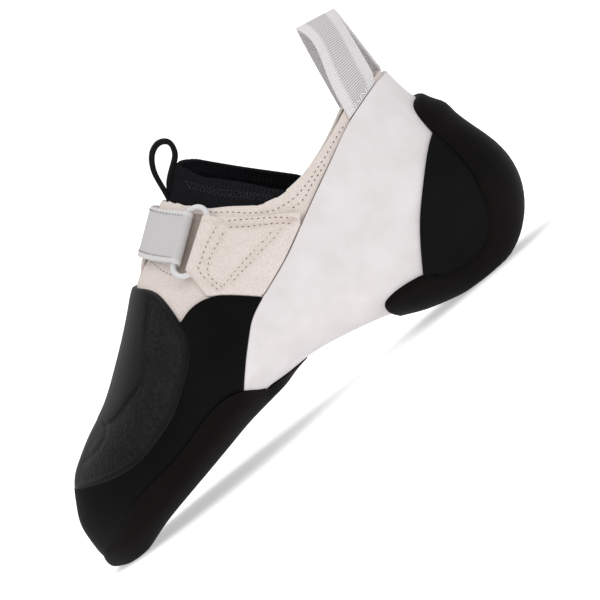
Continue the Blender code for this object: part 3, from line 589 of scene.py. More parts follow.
# %% [markdown]
# Woven and knitted goods show their construction. The knit of the tongue has fine ribs, the strap is
# a diagonal twill, and the pull webbing is a grosgrain, whose thick weft cords lie straight across.
# Each follows the piece's own flat coordinates, which are kept in millimetres. The finest twill is
# drawn a little coarser than it is, so that its lines don't blur away.
# %% Cloths
def make_cloth(name, dark, light, pitch, turn, depth, roughness=0.9, shine=0.3, band=None, fleck=None):
    """Ribs of one pitch, in millimetres, turned by an angle on the cloth. band gives a middle stripe:
    where it starts to fade, where it ends, and its two colours. fleck is the colour of stray fibres."""
    finish, tree, shader = new_finish(name, roughness, shine)
    cloth = add(tree, "ShaderNodeUVMap", {"uv_map": "cloth"}).outputs["UV"]
    turned = add(tree, "ShaderNodeMapping", {"Rotation": (0, 0, math.radians(turn))}, Vector=cloth)
    waves = {"Scale": 1 / pitch * math.pi / 10, "Distortion": 0.4, "Detail": 1.0, "Detail Scale": 2.0}
    ribs = add(tree, "ShaderNodeTexWave", waves, Vector=turned.outputs[0]).outputs["Fac"]
    colour = tinted(tree, ribs, dark, light, 0.1, 0.8)
    if band:
        across = add(tree, "ShaderNodeSeparateXYZ", {}, Vector=cloth).outputs["Y"]
        edge = add(tree, "ShaderNodeMath", {"operation": "ABSOLUTE"}, _0=across)
        fade = {"From Min": band[0], "From Max": band[1], "To Min": 1, "To Max": 0}
        middle = add(tree, "ShaderNodeMapRange", fade, Value=edge.outputs[0])
        heather = tinted(tree, ribs, band[2], band[3], 0.15, 0.75)
        colour = mixed(tree, middle.outputs[0], colour, heather)
    if fleck:
        fibres = spots_of(tree, cloth, 0.5 / 1000, 2.0)
        stray = add(tree, "ShaderNodeMapRange", {"From Min": 0.56, "From Max": 0.66}, Value=fibres)
        fleck_colour = add(tree, "ShaderNodeRGB")
        fleck_colour.outputs[0].default_value = linear(fleck)
        colour = mixed(tree, stray.outputs[0], colour, fleck_colour.outputs[0])
    tree.links.new(colour, shader.inputs["Base Color"])
    tree.links.new(bumped(tree, ribs, depth), shader.inputs["Normal"])
    return finish


KNIT = make_cloth("black ribbed stretch knit", "#09090B", "#131316", 0.9, 90, 0.10, 1.0, 0.08,
                  fleck="#303036")
TWILL = make_cloth("light grey strap twill", "#C8C6C6", "#CECCCC", 0.8, 32, 0.04, 0.75, 0.3,
                   (9.3, 9.6, "#B9B7B7", "#C1BFBF"))
GROSGRAIN = make_cloth("grosgrain pull webbing", "#CDC9CA", "#E0DDDE", 1.0, 0, 0.14, 0.85, 0.3,
                       (4.0, 5.4, "#A5A1A3", "#D3D0D2"))
TAPE = make_cloth("black polyester tape", "#08080A", "#151517", 0.8, 0, 0.12, 0.85, 0.15)
LINING = make_cloth("undyed lining cloth", "#A9A097", "#C3BBB2", 0.8, 45, 0.08)
print("cloths:", ", ".join(m.name for m in (KNIT, TWILL, GROSGRAIN, TAPE, LINING)))

# %% [markdown]
# The ring is injection-moulded acetal, a plastic with a soft gloss. Thread is twisted polyester, whose
# twist is too fine to show here, so it only needs a satin fibre finish. The dark line along the seam of the
# white rand is painted shade with a dull finish.
# %% Plastic, thread and cement
def make_plain(name, dark, light, roughness, grain, depth, coat=0.0, shine=0.5):
    finish, tree, shader = new_finish(name, roughness, shine, coat)
    fine = spots_of(tree, where_it_is(tree), grain)
    tree.links.new(tinted(tree, fine, dark, light), shader.inputs["Base Color"])
    tree.links.new(bumped(tree, fine, depth), shader.inputs["Normal"])
    return finish


ACETAL = make_plain("moulded grey acetal", "#CBC9C9", "#D6D4D4", 0.34, 3.0, 0.01, coat=0.1)
# The dark colour of the suede seams' thread is painted shade for the sunk stitch holes.
HOLE_SHADE_THREAD = make_plain("thread with painted hole shade", "#4A423E", "#6B625C", 0.8, 0.4, 0.04, shine=0.2)
# The pale grey of the strap's hem thread is partly painted shade between white stitches.
PALE_THREAD_AND_SHADE = make_plain("pale grey thread with painted shade", "#86807E", "#A39E9C", 0.8, 0.4, 0.04, shine=0.2)
WHITE_THREAD = make_plain("white twisted thread", "#E2E0E0", "#F4F3F3", 0.75, 0.4, 0.04, shine=0.3)
GREY_THREAD = make_plain("charcoal twisted thread", "#17171A", "#3C3C42", 0.8, 0.4, 0.04, shine=0.2)
# Painted shade for the seam along the front of the white rand, drawn as a dull dark bead.
SEAM_SHADE_BEAD = make_plain("painted seam shade", "#6A5D56", "#85776F", 0.8, 0.8, 0.03, shine=0.2)
print("small goods:", ", ".join(m.name for m in (ACETAL, HOLE_SHADE_THREAD, PALE_THREAD_AND_SHADE, WHITE_THREAD, SEAM_SHADE_BEAD)))

# %% [markdown]
# ## The upper
# The upper is one suede sock pulled over the last. It is cut away along the collar, a little lower on
# the inner side, and it is open under the foot, where it would be lasted to the insole. A thin wall is
# added inwards afterwards, so that the collar shows a real edge, with the lining on the inside. The
# creases are troughs laid along given lines: one beside the strap, two over the flexing toes and one below
# the collar.
# %% Upper
COLLAR_OUTER, COLLAR_INNER = both_forms((
    (0.440, 0.960, 0), (0.478, 0.927, 0), (0.496, 0.893, 0), (0.514, 0.854, 0), (0.533, 0.815, 0.003),
    (0.558, 0.784, 0.010), (0.593, 0.732, 0.018), (0.612, 0.711, 0.025), (0.636, 0.698, 0.032),
    (0.658, 0.695, 0.036), (0.694, 0.700, 0.038), (0.716, 0.709, 0.038), (0.750, 0.726, 0.034),
    (0.793, 0.756, 0.026), (0.828, 0.782, 0.016), (0.852, 0.793, 0.009), (0.883, 0.798, 0),
    (0.960, 0.798, 0)))
rest = far((1.20, 0.80), (1.20, -0.3), (-0.2, -0.3), (-0.2, 1.3), (0.30, 1.02))
below_collar = line_on_last(COLLAR_OUTER + rest, 0.0, COLLAR_INNER + rest)
STRAP_CREASE = drawn(((0.362, 0.790), (0.372, 0.745), (0.392, 0.700), (0.418, 0.672)))
FLEX_CREASES = [drawn(line) for line in (
    ((0.380, 0.640), (0.384, 0.680), (0.380, 0.715)), ((0.402, 0.620), (0.409, 0.652), (0.405, 0.682)),
    ((0.545, 0.800), (0.560, 0.765), (0.590, 0.725)))]
strap_crease = groove([STRAP_CREASE], 0.0007, 0.0026)
flex_creases = groove(FLEX_CREASES, 0.00035, 0.0020)
PRESS_DEPTH, PRESS_ROW, PRESS_TURN = 0.0021, 10.6, 0.085  # how deep, at which row, how far round
EDGE_ROLL, EDGE_BACK = 0.0016, 0.0008  # the collar's edge rolls in over this width and by this much


def pressed(u, v):
    """How deep the strap presses the leather in where it crosses the ridge."""
    along = (np.asarray(u) - PRESS_ROW) / np.where(np.asarray(u) < PRESS_ROW, 0.55, 1.15)
    return PRESS_DEPTH * np.exp(-(along**2)) * np.exp(-(((np.asarray(v) - 0.5) / PRESS_TURN) ** 2))


def suede_height(u, v, reach):
    folded = -EDGE_BACK * (1 - np.minimum(reach / EDGE_ROLL, 1)) ** 2
    return folded + strap_crease(u, v) + flex_creases(u, v) - 1.1 * pressed(u, v)


def lasting_hole(at):
    """The opening under the foot, between two rows and a part of a turn to each side."""
    return 3.2 * ROW_SPAN < at.x < 14 * ROW_SPAN and abs(at.y) < 1.9 / 24 * TURN_SPAN


WHOLE_LAST, WHOLE_TURN = (0, LAST_ROW), (-0.5, 0.5)
upper = cut_piece("upper_suede", [SUEDE, LINING], WHOLE_LAST, WHOLE_TURN, below_collar, suede_height,
                  rim=(0.0004, 0.0009, EDGE_ROLL), step=0.0017, nodes=("upper",), hole=lasting_hole)
thicken(upper, 0.0019, inside=1)

# %% [markdown]
# ## The knitted tongue
# Inside the throat stands a saddle of thick stretch knit. Its rim is higher on the inner side, which
# is why the dark inside of the far half shows over the near rim. A finer rib, marked off by a stitched
# line, runs along the rim.
# %% Tongue
KNIT_FACE = -0.0023  # the knit lies this far inside the suede's face
SOCK_FOOT = ((0.640, 0.590), (0.560, 0.640), (0.480, 0.740), (0.430, 0.830), (0.400, 0.900))
RIM_OUTER = ((0.520, 1.003), (0.533, 0.995), (0.541, 0.966), (0.555, 0.917), (0.579, 0.869),
             (0.613, 0.797), (0.634, 0.745), (0.664, 0.680))
RIM_INNER = ((0.520, 1.003), (0.540, 1.000), (0.562, 0.971), (0.579, 0.932), (0.598, 0.887),
             (0.622, 0.832), (0.654, 0.762), (0.700, 0.662))
sock_lines = [drawn(rim) + drawn(SOCK_FOOT) + far((0.400, 1.100)) for rim in (RIM_OUTER, RIM_INNER)]
in_sock = line_on_last(sock_lines[0], KNIT_FACE, sock_lines[1])
BAND_SEAM, KNIT_ROLL = 0.0052, 0.0014  # how far in from the rim the seam runs, and the rim's rolled width


def knit_height(u, v, reach):
    seam_dip = -0.0004 * np.exp(-(((reach - BAND_SEAM) / 0.0006) ** 2))
    return KNIT_FACE + seam_dip - 0.0009 * (1 - np.minimum(reach / KNIT_ROLL, 1)) ** 2


tongue = cut_piece("knit_tongue", KNIT, (8.8, LAST_ROW), (0.16, 0.84), in_sock, knit_height,
                   rim=(0.0003, 0.0008, KNIT_ROLL, 0.0046, BAND_SEAM, 0.0058), step=0.0013,
                   nodes=("sock_tongue",))
thicken(tongue, 0.0021)

# %% [markdown]
# The footbed lies inside, over the turned-in edge of the upper. Little of it shows, but from above it
# closes the shoe's floor.
# %% Footbed
whole = line_on_last(far((-1, -1), (2, -1), (2, 2), (-1, 2)))
footbed = cut_piece("footbed", LINING, (2, 15), (-3 / 24, 3 / 24), whole,
                    lambda u, v, reach: np.full(len(u), -0.0024), step=0.003, nodes=("insole",))
thicken(footbed, 0.0016)

# %% [markdown]
# ## The rubber that makes it a climbing shoe
# A thin rand runs round the toes, a thick patch covers them for hooking, a white tension rand pulls
# the heel forwards, and separate soles sit under the forefoot and the heel. Each is cut from a sheet
# with a buffed, rounded rim. Where two rubbers meet, the black rand runs on a little under its
# neighbour, as it does on the real shoe, so no suede shows in the seam.
# %% Lines of the rubber pieces
HEEL_FRONT = drawn((
    (0.900, 0.781), (0.823, 0.742), (0.753, 0.678), (0.640, 0.568), (0.575, 0.507),
    (0.493, 0.448), (0.454, 0.399), (0.416, 0.327), (0.381, 0.249), (0.372, 0.180), (0.370, -0.050)))
PATCH_EDGE = drawn((
    (0.367, 0.575), (0.366, 0.548), (0.360, 0.512), (0.339, 0.454), (0.311, 0.409),
    (0.281, 0.368), (0.243, 0.328), (0.184, 0.293), (0.137, 0.283), (0.079, 0.297),
    (0.038, 0.318), (-0.020, 0.350)))
PATCH_TOP = drawn((
    (0.367, 0.575), (0.369, 0.622), (0.369, 0.668), (0.366, 0.706), (0.358, 0.732), (0.347, 0.748),
    (0.334, 0.762)))
RAND_TOP = drawn(((0.367, 0.575), (0.387, 0.588), (0.408, 0.592), (0.432, 0.583), (0.461, 0.549),
                  (0.506, 0.467)))
SEAM, TUCK = 0.00012, 0.0014  # the gap that shows between two rubbers, and how far one runs on below
ON_RAND = CLEARANCE + RAND
ON_LAYER = ON_RAND + CLEARANCE
INTO_SUEDE, INTO_RAND = -0.0001, ON_RAND - 0.0001  # where the border walls end, just inside the layer below
RAND_RIM, PATCH_RIM, BAND_RIM, CUP_RIM = 0.0005, 0.0011, 0.0022, 0.0004  # radius of each buffed rim
print("lowest place of the rubber line of the heel:", round(min(z for _, z in HEEL_FRONT), 4))

# %% [markdown]
# The forefoot rand is one band of calendered rubber. It is pulled round the toes first, and the patch,
# the white rand and the sole are glued over its edges.
# %% Forefoot rand
TIP_SWELL = 0.0014  # how much thicker the rand is round the toe tip


def rand_line(under_white):
    """The rand's side view. It runs on under the patch, and under the white rand by this much."""
    hidden = moved(PATCH_EDGE, -0.6 * TUCK, 0.8 * TUCK)[::-1]
    end = RAND_TOP[-1]
    split = [p for p in moved(HEEL_FRONT, dx=under_white) if p[0] < end[0] + under_white and p[1] < end[1]]
    return hidden + RAND_TOP[1:] + split + far((-0.10, -0.05))


rand_face = line_on_last(rand_line(-SEAM), ON_RAND)


def rand_height(u, v, reach):
    """The rand swells a little round the toe tip, until it is flush with the skived sole."""
    p = last_point(u, v)
    at_tip = (1 - ease(u, 0.5, 3.5)) * (1 - ease(p[:, 2], 0.022, 0.042))
    face = rand_face(on_sheet(u, v))
    return np.maximum(rounded(face, ON_RAND + TIP_SWELL * at_tip, RAND_RIM), ON_RAND / 2)


cut_piece("forefoot_rand_rubber", RAND_RUBBER, (0, 12.5), WHOLE_TURN,
          line_on_last(rand_line(TUCK), ON_RAND), rand_height, foot=INTO_SUEDE, nodes=("forefoot_rand",),
          relief=[(rand_face, level) for level in (0, *rim_levels(RAND_RIM))])

# %% [markdown]
# The toe patch has a smooth rim, a slightly sunk field with pebbles, and a raised almond plate over
# the toes. A shallow line and two low ribs cross the field.
# %% Toe patch
patch_outline = (moved(PATCH_TOP, dx=-SEAM)[::-1] + moved(PATCH_EDGE, -SEAM, SEAM)[1:]
                 + far((-0.10, 0.60), (0.20, 0.95), (0.30, 0.85)))
in_patch = line_on_last(patch_outline, CLEARANCE + PATCH)
ALMOND = drawn((
    (0.360, 0.735), (0.343, 0.683), (0.304, 0.608), (0.291, 0.566), (0.272, 0.530), (0.251, 0.501),
    (0.226, 0.483), (0.199, 0.466), (0.180, 0.454), (0.165, 0.448), (0.148, 0.451)))
in_plate = line_on_last(ALMOND + far((0.05, 0.62), (0.20, 0.90)), CLEARANCE + PATCH)
TOE_LINE = drawn(((0.157, 0.438), (0.139, 0.402), (0.108, 0.379), (0.079, 0.369)))
FLEX_RIBS = [drawn(line) for line in (((0.243, 0.479), (0.255, 0.459), (0.263, 0.425)),
                                      ((0.237, 0.469), (0.248, 0.449), (0.257, 0.416)))]
toe_line = groove([TOE_LINE], 0.0005, 0.0006)
flex_ribs = groove(FLEX_RIBS, -0.0003, 0.0005)
beside_lines = beside([TOE_LINE] + FLEX_RIBS)
FIELD_START, FIELD_END = 0.0029, 0.0036  # the rim's inner slope down to the field
PLATE_START, PLATE_END = -0.0005, 0.0003  # and the slope up to the plate


def patch_field(flat):
    """1 in the sunk field, 0 on the rim and on the plate. It fades out over the ridge of the toes."""
    off_ridge = ease(np.abs(flat[:, 1] / TURN_SPAN - 0.5), 0.01, 0.06)
    outside_plate = 1 - ease(in_plate(flat), PLATE_START, PLATE_END)
    return ease(in_patch(flat), FIELD_START, FIELD_END) * outside_plate * off_ridge


def patch_height(u, v, reach):
    flat = on_sheet(u, v)
    x, z = last_point(u, v)[:, [0, 2]].T
    by_the_instep = ease(z, *[side_place(0, share)[1] for share in (0.60, 0.72)])
    at_the_tip = 1 - ease(x, *[side_place(share, 0)[0] for share in (0.03, 0.16)])
    thinned = 0.0004 * by_the_instep * (1 - ease(reach, 0, 0.006))
    thinned = thinned + 0.0006 * at_the_tip * (1 - ease(reach, 0.001, 0.012))
    off_ridge = ease(np.abs(np.asarray(v) - 0.5), 0.01, 0.05)
    lines = toe_line(u, v) * off_ridge + flex_ribs(u, v)
    relief = 0.0002 * ease(in_plate(flat), 0, 0.002) - 0.0006 * patch_field(flat) + lines
    return rounded(reach, CLEARANCE + PATCH - thinned, PATCH_RIM) + relief


cut_piece("toe_patch_rubber", PATCH_RUBBER, (1.5, 11.3), (0.10, 0.90), in_patch, patch_height,
          rim=(*rim_levels(PATCH_RIM)[:4], FIELD_START, FIELD_END), foot=INTO_SUEDE, step=0.0012,
          relief=[(in_plate, PLATE_START), (in_plate, PLATE_END),
                  (beside_lines, 0.0009), (beside_lines, 0.0003)],
          nodes=("toe_patch",), marks={"grain": patch_field})

# %% [markdown]
# The tension rand is smooth white rubber, stretched round the heel so that it pushes the toes forwards.
# It follows the last closely, and dips a little below the ankle bone.
# %% White tension rand
in_heel = line_on_last(HEEL_FRONT + far((1.20, -0.05), (1.20, 0.781)), ON_RAND)
ankle_dip = groove([drawn(((0.560, 0.380), (0.660, 0.430), (0.760, 0.480)))], 0.0006, 0.012)


def tension_height(u, v, reach):
    return rounded(reach, ON_RAND, RAND_RIM) + ankle_dip(u, v)


cut_piece("tension_rand_rubber", WHITE_RUBBER, (7.4, LAST_ROW), WHOLE_TURN, in_heel,
          tension_height, rim=rim_levels(RAND_RIM), foot=INTO_SUEDE, nodes=("heel_rand",))

# %% [markdown]
# The half sole is thick under the toes and is skived, or thinned, towards its edge and its tail, so
# that it runs out into the rand without a step that could catch on rock.
# %% Outsole
SOLE_OUTER, SOLE_INNER = both_forms((
    (-0.020, 0.075, 0), (0.015, 0.090, 0), (0.053, 0.129, 0.007), (0.118, 0.188, 0.030),
    (0.206, 0.214, 0.038), (0.269, 0.246, 0.046), (0.329, 0.270, 0.052), (0.376, 0.249, 0.035),
    (0.406, 0.199, 0), (0.427, 0.186, 0), (0.460, 0.176, 0), (0.495, 0.169, 0), (0.525, 0.152, 0),
    (0.571, 0.110, 0)))
below_sole = far((0.60, -0.10), (-0.10, -0.10))
in_sole = line_on_last(SOLE_OUTER + below_sole, ON_RAND + 0.001, SOLE_INNER + below_sole)
sole_shares = SECTIONS[:, 10]
LAST_SHARES = np.concatenate([sole_shares[1:2], sole_shares])[:, None]
SKIVED = 0.0003  # the least thickness that skiving leaves


def sole_height(u, v, reach):
    away = np.minimum(v % 1.0, 1 - v % 1.0)
    under = np.clip(smooth_through(LAST_SHARES, u + 1)[..., 0], 0, 1) * SOLE
    full = SOLE_EDGE + np.maximum(under - SOLE_EDGE, 0) * (1 - ease(away, 0.150, 0.215))
    return ON_RAND + SKIVED + (full - SKIVED + CLEARANCE) * ease(reach, -0.003, 0.007)


cut_piece("half_sole_rubber", SOLE_RUBBER, (0, 12.8), (-0.34, 0.34), in_sole, sole_height,
          rim=(0.0003, 0.0008, 0.002), foot=INTO_RAND, nodes=("outsole",), floor=0.0)

# %% [markdown]
# The heel band is thick rubber that runs under the heel and up the back, where it hooks over holds.
# Its rim is the roundest of all.
# %% Heel band
BAND_EDGE = drawn((
    (0.944, 0.652), (0.931, 0.622), (0.929, 0.529), (0.933, 0.446), (0.934, 0.353), (0.924, 0.257),
    (0.904, 0.167), (0.878, 0.115), (0.849, 0.090), (0.806, 0.096), (0.772, 0.118), (0.749, 0.146),
    (0.707, 0.158), (0.684, 0.156), (0.669, 0.148), (0.661, 0.130), (0.661, 0.105), (0.668, 0.080)))
in_band = line_on_last(BAND_EDGE + far((0.690, -0.10), (1.20, -0.10), (1.20, 0.652)), ON_LAYER + BAND)


def band_height(u, v, reach):
    """The band's front end is skived thinner, so it runs out softly under the arch. Its upper lip is
    rounder, with a soft swelling below it at the very back."""
    x, y, z = last_point(u, v).T
    front = 1 - ease(x, side_place(0.658, 0)[0], side_place(0.730, 0)[0])
    lip = ease(z, 0.056, 0.074)
    swelling = 0.0013 * np.exp(-(((z - 0.0668) / 0.0042) ** 2) - (y / 0.016) ** 2)
    top = ON_LAYER + BAND - 0.0013 * front + swelling - 0.0002 * lip
    return rounded(reach, top, BAND_RIM - 0.0006 * front + 0.0010 * lip)


HEEL_ROWS = (12.3, LAST_ROW)
cut_piece("heel_band_rubber", SOLE_RUBBER, HEEL_ROWS, (-0.30, 0.30), in_band, band_height,
          rim=rim_levels(BAND_RIM), foot=INTO_RAND, nodes=("heel_band",), floor=0.0)

# %% [markdown]
# On each side a dished piece fills the curve of the band and runs in under it. Towards the floor it
# swells until it meets the band flush, so the crease between them fades out there.
# %% Heel cups
CUP_FRONT = drawn(((0.929, 0.530), (0.896, 0.488), (0.851, 0.406), (0.807, 0.315), (0.771, 0.217),
                   (0.749, 0.147)))
behind_front = line_on_last(CUP_FRONT + far((0.749, -0.1), (1.2, -0.1), (1.2, 0.530)), ON_LAYER + CUP)


def in_cup(flat):
    """Inside the cup's front line and up to 1.2 mm in under the band."""
    return np.minimum(behind_front(flat), 0.0012 - in_band(flat))


def cup_height(u, v, reach):
    flat = on_sheet(u, v)
    near_band = 1 - ease(-in_band(flat), -0.0005, 0.012)
    low = 1 - ease(last_point(u, v)[:, 2], 0.014, 0.044)
    swelling = 0.0010 * near_band * low * ease(behind_front(flat), 0.001, 0.009)
    return rounded(behind_front(flat), ON_LAYER + CUP, CUP_RIM) + swelling


for side, turns in (("outer", (0.02, 0.44)), ("inner", (0.56, 0.98))):
    cut_piece(f"heel_cup_{side}_rubber", CUP_RUBBER, HEEL_ROWS, turns, in_cup, cup_height,
              relief=[(behind_front, level) for level in rim_levels(CUP_RIM)], foot=INTO_RAND,
              nodes=(f"heel_cup_{side}",))

# %% [markdown]
# ## The closure
# A moulded ring is caught in the folded front edge of the outer side panel. The strap comes from the
# inner side, passes over the instep, turns round the ring's near bar and closes on itself. The ring's
# three directions are measured on the last first, because strap and panel both follow them.
# %% Where the ring lies
STRAP, STRAP_LIFT, STRAP_WIDTH = 0.0014, 0.0005, 0.0224
WIRE, RING_LONG, RING_WIDE = 0.0026, 0.0345, 0.0125
ring_ends = [find_on_last(*side_place(*p)) for p in ((0.411, 0.665), (0.514, 0.809))]
ring_feet = [last_point(*place) for place in ring_ends]
ring_middle = (ring_ends[0] + ring_ends[1]) / 2
ring_lift = STRAP_LIFT + STRAP + CLEARANCE + WIRE / 2
long_way = unit(ring_feet[1] - ring_feet[0])
out_way = last_normal(*ring_middle)
out_way = unit(out_way - long_way * np.dot(out_way, long_way))
short_way = np.cross(long_way, out_way)
short_way = -short_way if short_way[2] > 0 else short_way
ring_centre = off_last(*ring_middle, ring_lift)
bar = (RING_WIDE - WIRE) / 2


def from_ring(along, across, up=0.0):
    """A place given from the ring's centre, in its own three directions."""
    return ring_centre + long_way * along + short_way * across + out_way * up


print("ring centre:", ring_centre.round(4))

# %% [markdown]
# The ring is a long oval of round wire. A circle is extruded along one bar, spun round the end, and the
# same is done once more for the way back.
# %% Ring
def make_ring():
    """A wire section carried along the straight bars and spun round both ends."""
    bm = bmesh.new()
    straight = RING_LONG / 2 - RING_WIDE / 2
    section = Matrix.Translation((-straight, bar, 0)) @ Matrix.Rotation(math.radians(90), 4, "Y")
    bmesh.ops.create_circle(bm, segments=16, radius=WIRE / 2, matrix=section)
    rim = list(bm.edges)
    for end in (1, -1):
        new = bmesh.ops.extrude_edge_only(bm, edges=rim)["geom"]
        verts = [g for g in new if isinstance(g, bmesh.types.BMVert)]
        bmesh.ops.translate(bm, vec=(2 * straight * end, 0, 0), verts=verts)
        rim = [g for g in new if isinstance(g, bmesh.types.BMEdge)]
        turned = bmesh.ops.spin(bm, geom=rim + verts, cent=(straight * end, 0, 0), axis=(0, 0, -1),
                                angle=math.pi, steps=20)["geom_last"]
        rim = [g for g in turned if isinstance(g, bmesh.types.BMEdge)]
    bmesh.ops.remove_doubles(bm, verts=bm.verts, dist=1e-6)
    place = Matrix.Translation(ring_centre) @ Matrix(np.stack([long_way, short_way, out_way], 1)).to_4x4()
    bmesh.ops.transform(bm, matrix=place, verts=bm.verts)
    bmesh.ops.recalc_face_normals(bm, faces=bm.faces)
    link_piece(bm, "strap_ring_plastic", ACETAL, ("strap_ring",))


make_ring()

# %% [markdown]
# The strap is one strip. Its middle line lies on the last, turns round the bar and comes back a
# thickness higher, and the strip's own grid is moved onto that path.
# %% Strap
fold = [find_on_last(*side_place(*p)) for p in ((0.417, 0.689), (0.506, 0.800))]
FREE_END = 30  # points of the path on the layer that closes on itself
RIDGE_ROWS = (10.56, 13.32)  # rows of the last where the strap's two edges cross the ridge


def at_bar(across):
    """Where a line of the strap turns round the ring's near bar."""
    return from_ring(across * 0.0119 + 0.0008, -bar)


def over_leather(u, v, distance):
    """A place over the instep, where the strap is pressed in a little."""
    return off_last(u, v, distance - 0.5 * pressed(u, v))


def on_instep(share, across, distance, facing):
    """A place on the strap: 0 is over the ridge and 1 is at the ring. In the side view the strap runs
    straight, so along each height of the last the row is looked up where it crosses that line."""
    blend = (across + 1) / 2
    turn = 0.5 + (fold[0][1] + (fold[1][1] - fold[0][1]) * blend - 0.5) * abs(share)
    at_ridge = RIDGE_ROWS[0] + (RIDGE_ROWS[1] - RIDGE_ROWS[0]) * blend
    start = over_leather(at_ridge, 0.5, distance)[[0, 2]]
    end = at_bar(across)[[0, 2]]
    rows = np.linspace(8.0, 17.0, 91)
    shown = over_leather(rows, np.full(len(rows), turn), distance)[:, [0, 2]]
    beyond = (shown - start) @ np.array([-(end - start)[1], (end - start)[0]])
    order = np.argsort(beyond)
    u, v = np.interp(0, beyond[order], rows[order]), turn if share >= 0 else 1 - turn
    return over_leather(u, v, distance), last_normal(u, v) * facing


def strap_path(across):
    """One line of the strap with its outward directions, from its fixed end round the bar and back."""
    lower = STRAP_LIFT + STRAP / 2
    radius = WIRE / 2 + CLEARANCE + STRAP / 2
    path = [on_instep(s, across, lower, -1) for s in np.linspace(-1.15, 0.6, 40)]
    start = at_bar(across)
    for angle in np.radians(np.linspace(-90, 90, 15)):
        away = short_way * math.cos(angle) + out_way * math.sin(angle)
        path.append((start + away * radius, away))
    upper_layer = lower + STRAP + CLEARANCE
    path += [on_instep(s, across, upper_layer, 1) for s in np.linspace(0.55, -0.45, FREE_END)]
    return path


def strip_on_path(name, finish, paths, width, thickness, nodes):
    """A grid moved onto a family of paths, one for each line across the strip."""
    bm = bmesh.new()
    along, lines = len(paths[0]), len(paths)
    bmesh.ops.create_grid(bm, x_segments=along - 1, y_segments=lines - 1, size=0.5)
    spots = np.array([[p[0] for p in path] for path in paths])
    run = np.concatenate([[0], np.cumsum(np.linalg.norm(np.diff(spots[lines // 2], axis=0), axis=1))])
    cloth = bm.loops.layers.uv.new("cloth")
    order = {vert: (round((vert.co.x + 0.5) * (along - 1)), round((vert.co.y + 0.5) * (lines - 1)))
             for vert in bm.verts}
    for face in bm.faces:
        for loop in face.loops:
            i, j = order[loop.vert]
            loop[cloth].uv = (run[i] * 1000, (j / (lines - 1) - 0.5) * width * 1000)
    for vert, (i, j) in order.items():
        vert.co = spots[j][i]
    piece = link_piece(bm, name, finish, nodes)
    thicken(piece, thickness, offset=0)
    soft = piece.modifiers.new("soft edges", "BEVEL")
    soft.width, soft.segments = thickness * 0.25, 2
    soft.limit_method, soft.angle_limit = "ANGLE", math.radians(50)


strip_on_path("strap_twill", TWILL, [strap_path(a) for a in np.linspace(-1, 1, 17)],
              STRAP_WIDTH, STRAP, ("strap",))

# %% [markdown]
# The side panels are a second layer of suede. The outer one is folded round the ring's far bar, so its
# front edge is a soft roll; its top edge is turned under and stands up as a ridge. The sewing pulls
# the suede down, so a trough runs along every row of stitches.
# %% Side panels
PANEL_RIDGE = drawn(((0.543, 0.760), (0.575, 0.709), (0.616, 0.655), (0.654, 0.605)))
ROLL, FOLD_HALF, PANEL_RIM = 0.0029, 0.0126, 0.0007
MORE_ROLL = 0.0013  # the roll is thicker by this much at its lower end


def seen_from_side(place):
    return (place[0], place[2])


fold_line = [seen_from_side(from_ring(a, bar - ROLL - more, -0.0019))
             for a, more in ((FOLD_HALF, 0), (-FOLD_HALF, MORE_ROLL))]
behind = [p for p in moved(HEEL_FRONT, -SEAM, SEAM)
          if side_place(0.515, 0)[0] < p[0] < side_place(0.650, 0)[0]]
above_rand = [p for p in moved(RAND_TOP, SEAM, SEAM)[::-1] if p[0] > side_place(0.440, 0)[0]]
panel_line = fold_line[:1] + PANEL_RIDGE + behind + above_rand + far((0.434, 0.588)) + fold_line[1:]
in_panel = line_on_last(panel_line, CLEARANCE + PANEL)
below = far((0.80, 0.60), (0.80, -0.1), (-0.1, -0.1), (-0.1, 0.8))
under_ridge = line_on_last(fold_line[:1] + PANEL_RIDGE + below, 0.0015)
PANEL_ROWS = (
    ((0.536, 0.745), (0.559, 0.715), (0.581, 0.686), (0.612, 0.644), (0.638, 0.603)),
    ((0.539, 0.718), (0.560, 0.687), (0.580, 0.661), (0.606, 0.629), (0.627, 0.596)),
    ((0.526, 0.740), (0.498, 0.715), (0.479, 0.694), (0.460, 0.671), (0.450, 0.652), (0.452, 0.615),
     (0.455, 0.577)),
    ((0.528, 0.715), (0.501, 0.692), (0.479, 0.671), (0.465, 0.651), (0.459, 0.632), (0.461, 0.598),
     (0.464, 0.572)),
    ((0.604, 0.619), (0.575, 0.607), (0.542, 0.601), (0.516, 0.593), (0.490, 0.585), (0.466, 0.575)),
    ((0.614, 0.604), (0.587, 0.591), (0.559, 0.586), (0.529, 0.578), (0.505, 0.574), (0.480, 0.566)))
panel_rows = [drawn(row) for row in PANEL_ROWS]
sewn_down = groove(panel_rows, 0.0006, 0.0012)
beside_rows = beside(panel_rows)


def panel_height(u, v, reach):
    """The panel's face: its turned top edge, the roll round the ring's far bar, and the sewn rows."""
    from_edge = under_ridge(on_sheet(u, v))
    hem_foot = 0.0005 * np.exp(-(((from_edge - 0.0034) / 0.0010) ** 2))
    hem = 0.0014 * (1 - ease(from_edge, 0.0014, 0.0026)) - hem_foot
    p = last_point(u, v)
    across = (p - ring_centre) @ short_way
    along = (p - ring_centre) @ long_way
    roll = ROLL + MORE_ROLL * np.clip(0.5 - along / (2 * FOLD_HALF), 0, 1)
    half = FOLD_HALF + np.where(along < 0, 0.0024, 0)
    along = np.abs(along)
    round_bar = np.sqrt(np.maximum(roll**2 - (across - bar) ** 2, 0)) / roll
    shoulder = np.where(across < bar, round_bar, 1 - ease(across, bar, bar + 0.0085))
    rise = 0.0048 * shoulder * (1 - ease(along, half - 0.0006, half + 0.0016)) * (p[:, 1] < 0)
    return rounded(reach, CLEARANCE + PANEL, PANEL_RIM) + np.maximum(hem, rise) + sewn_down(u, v)


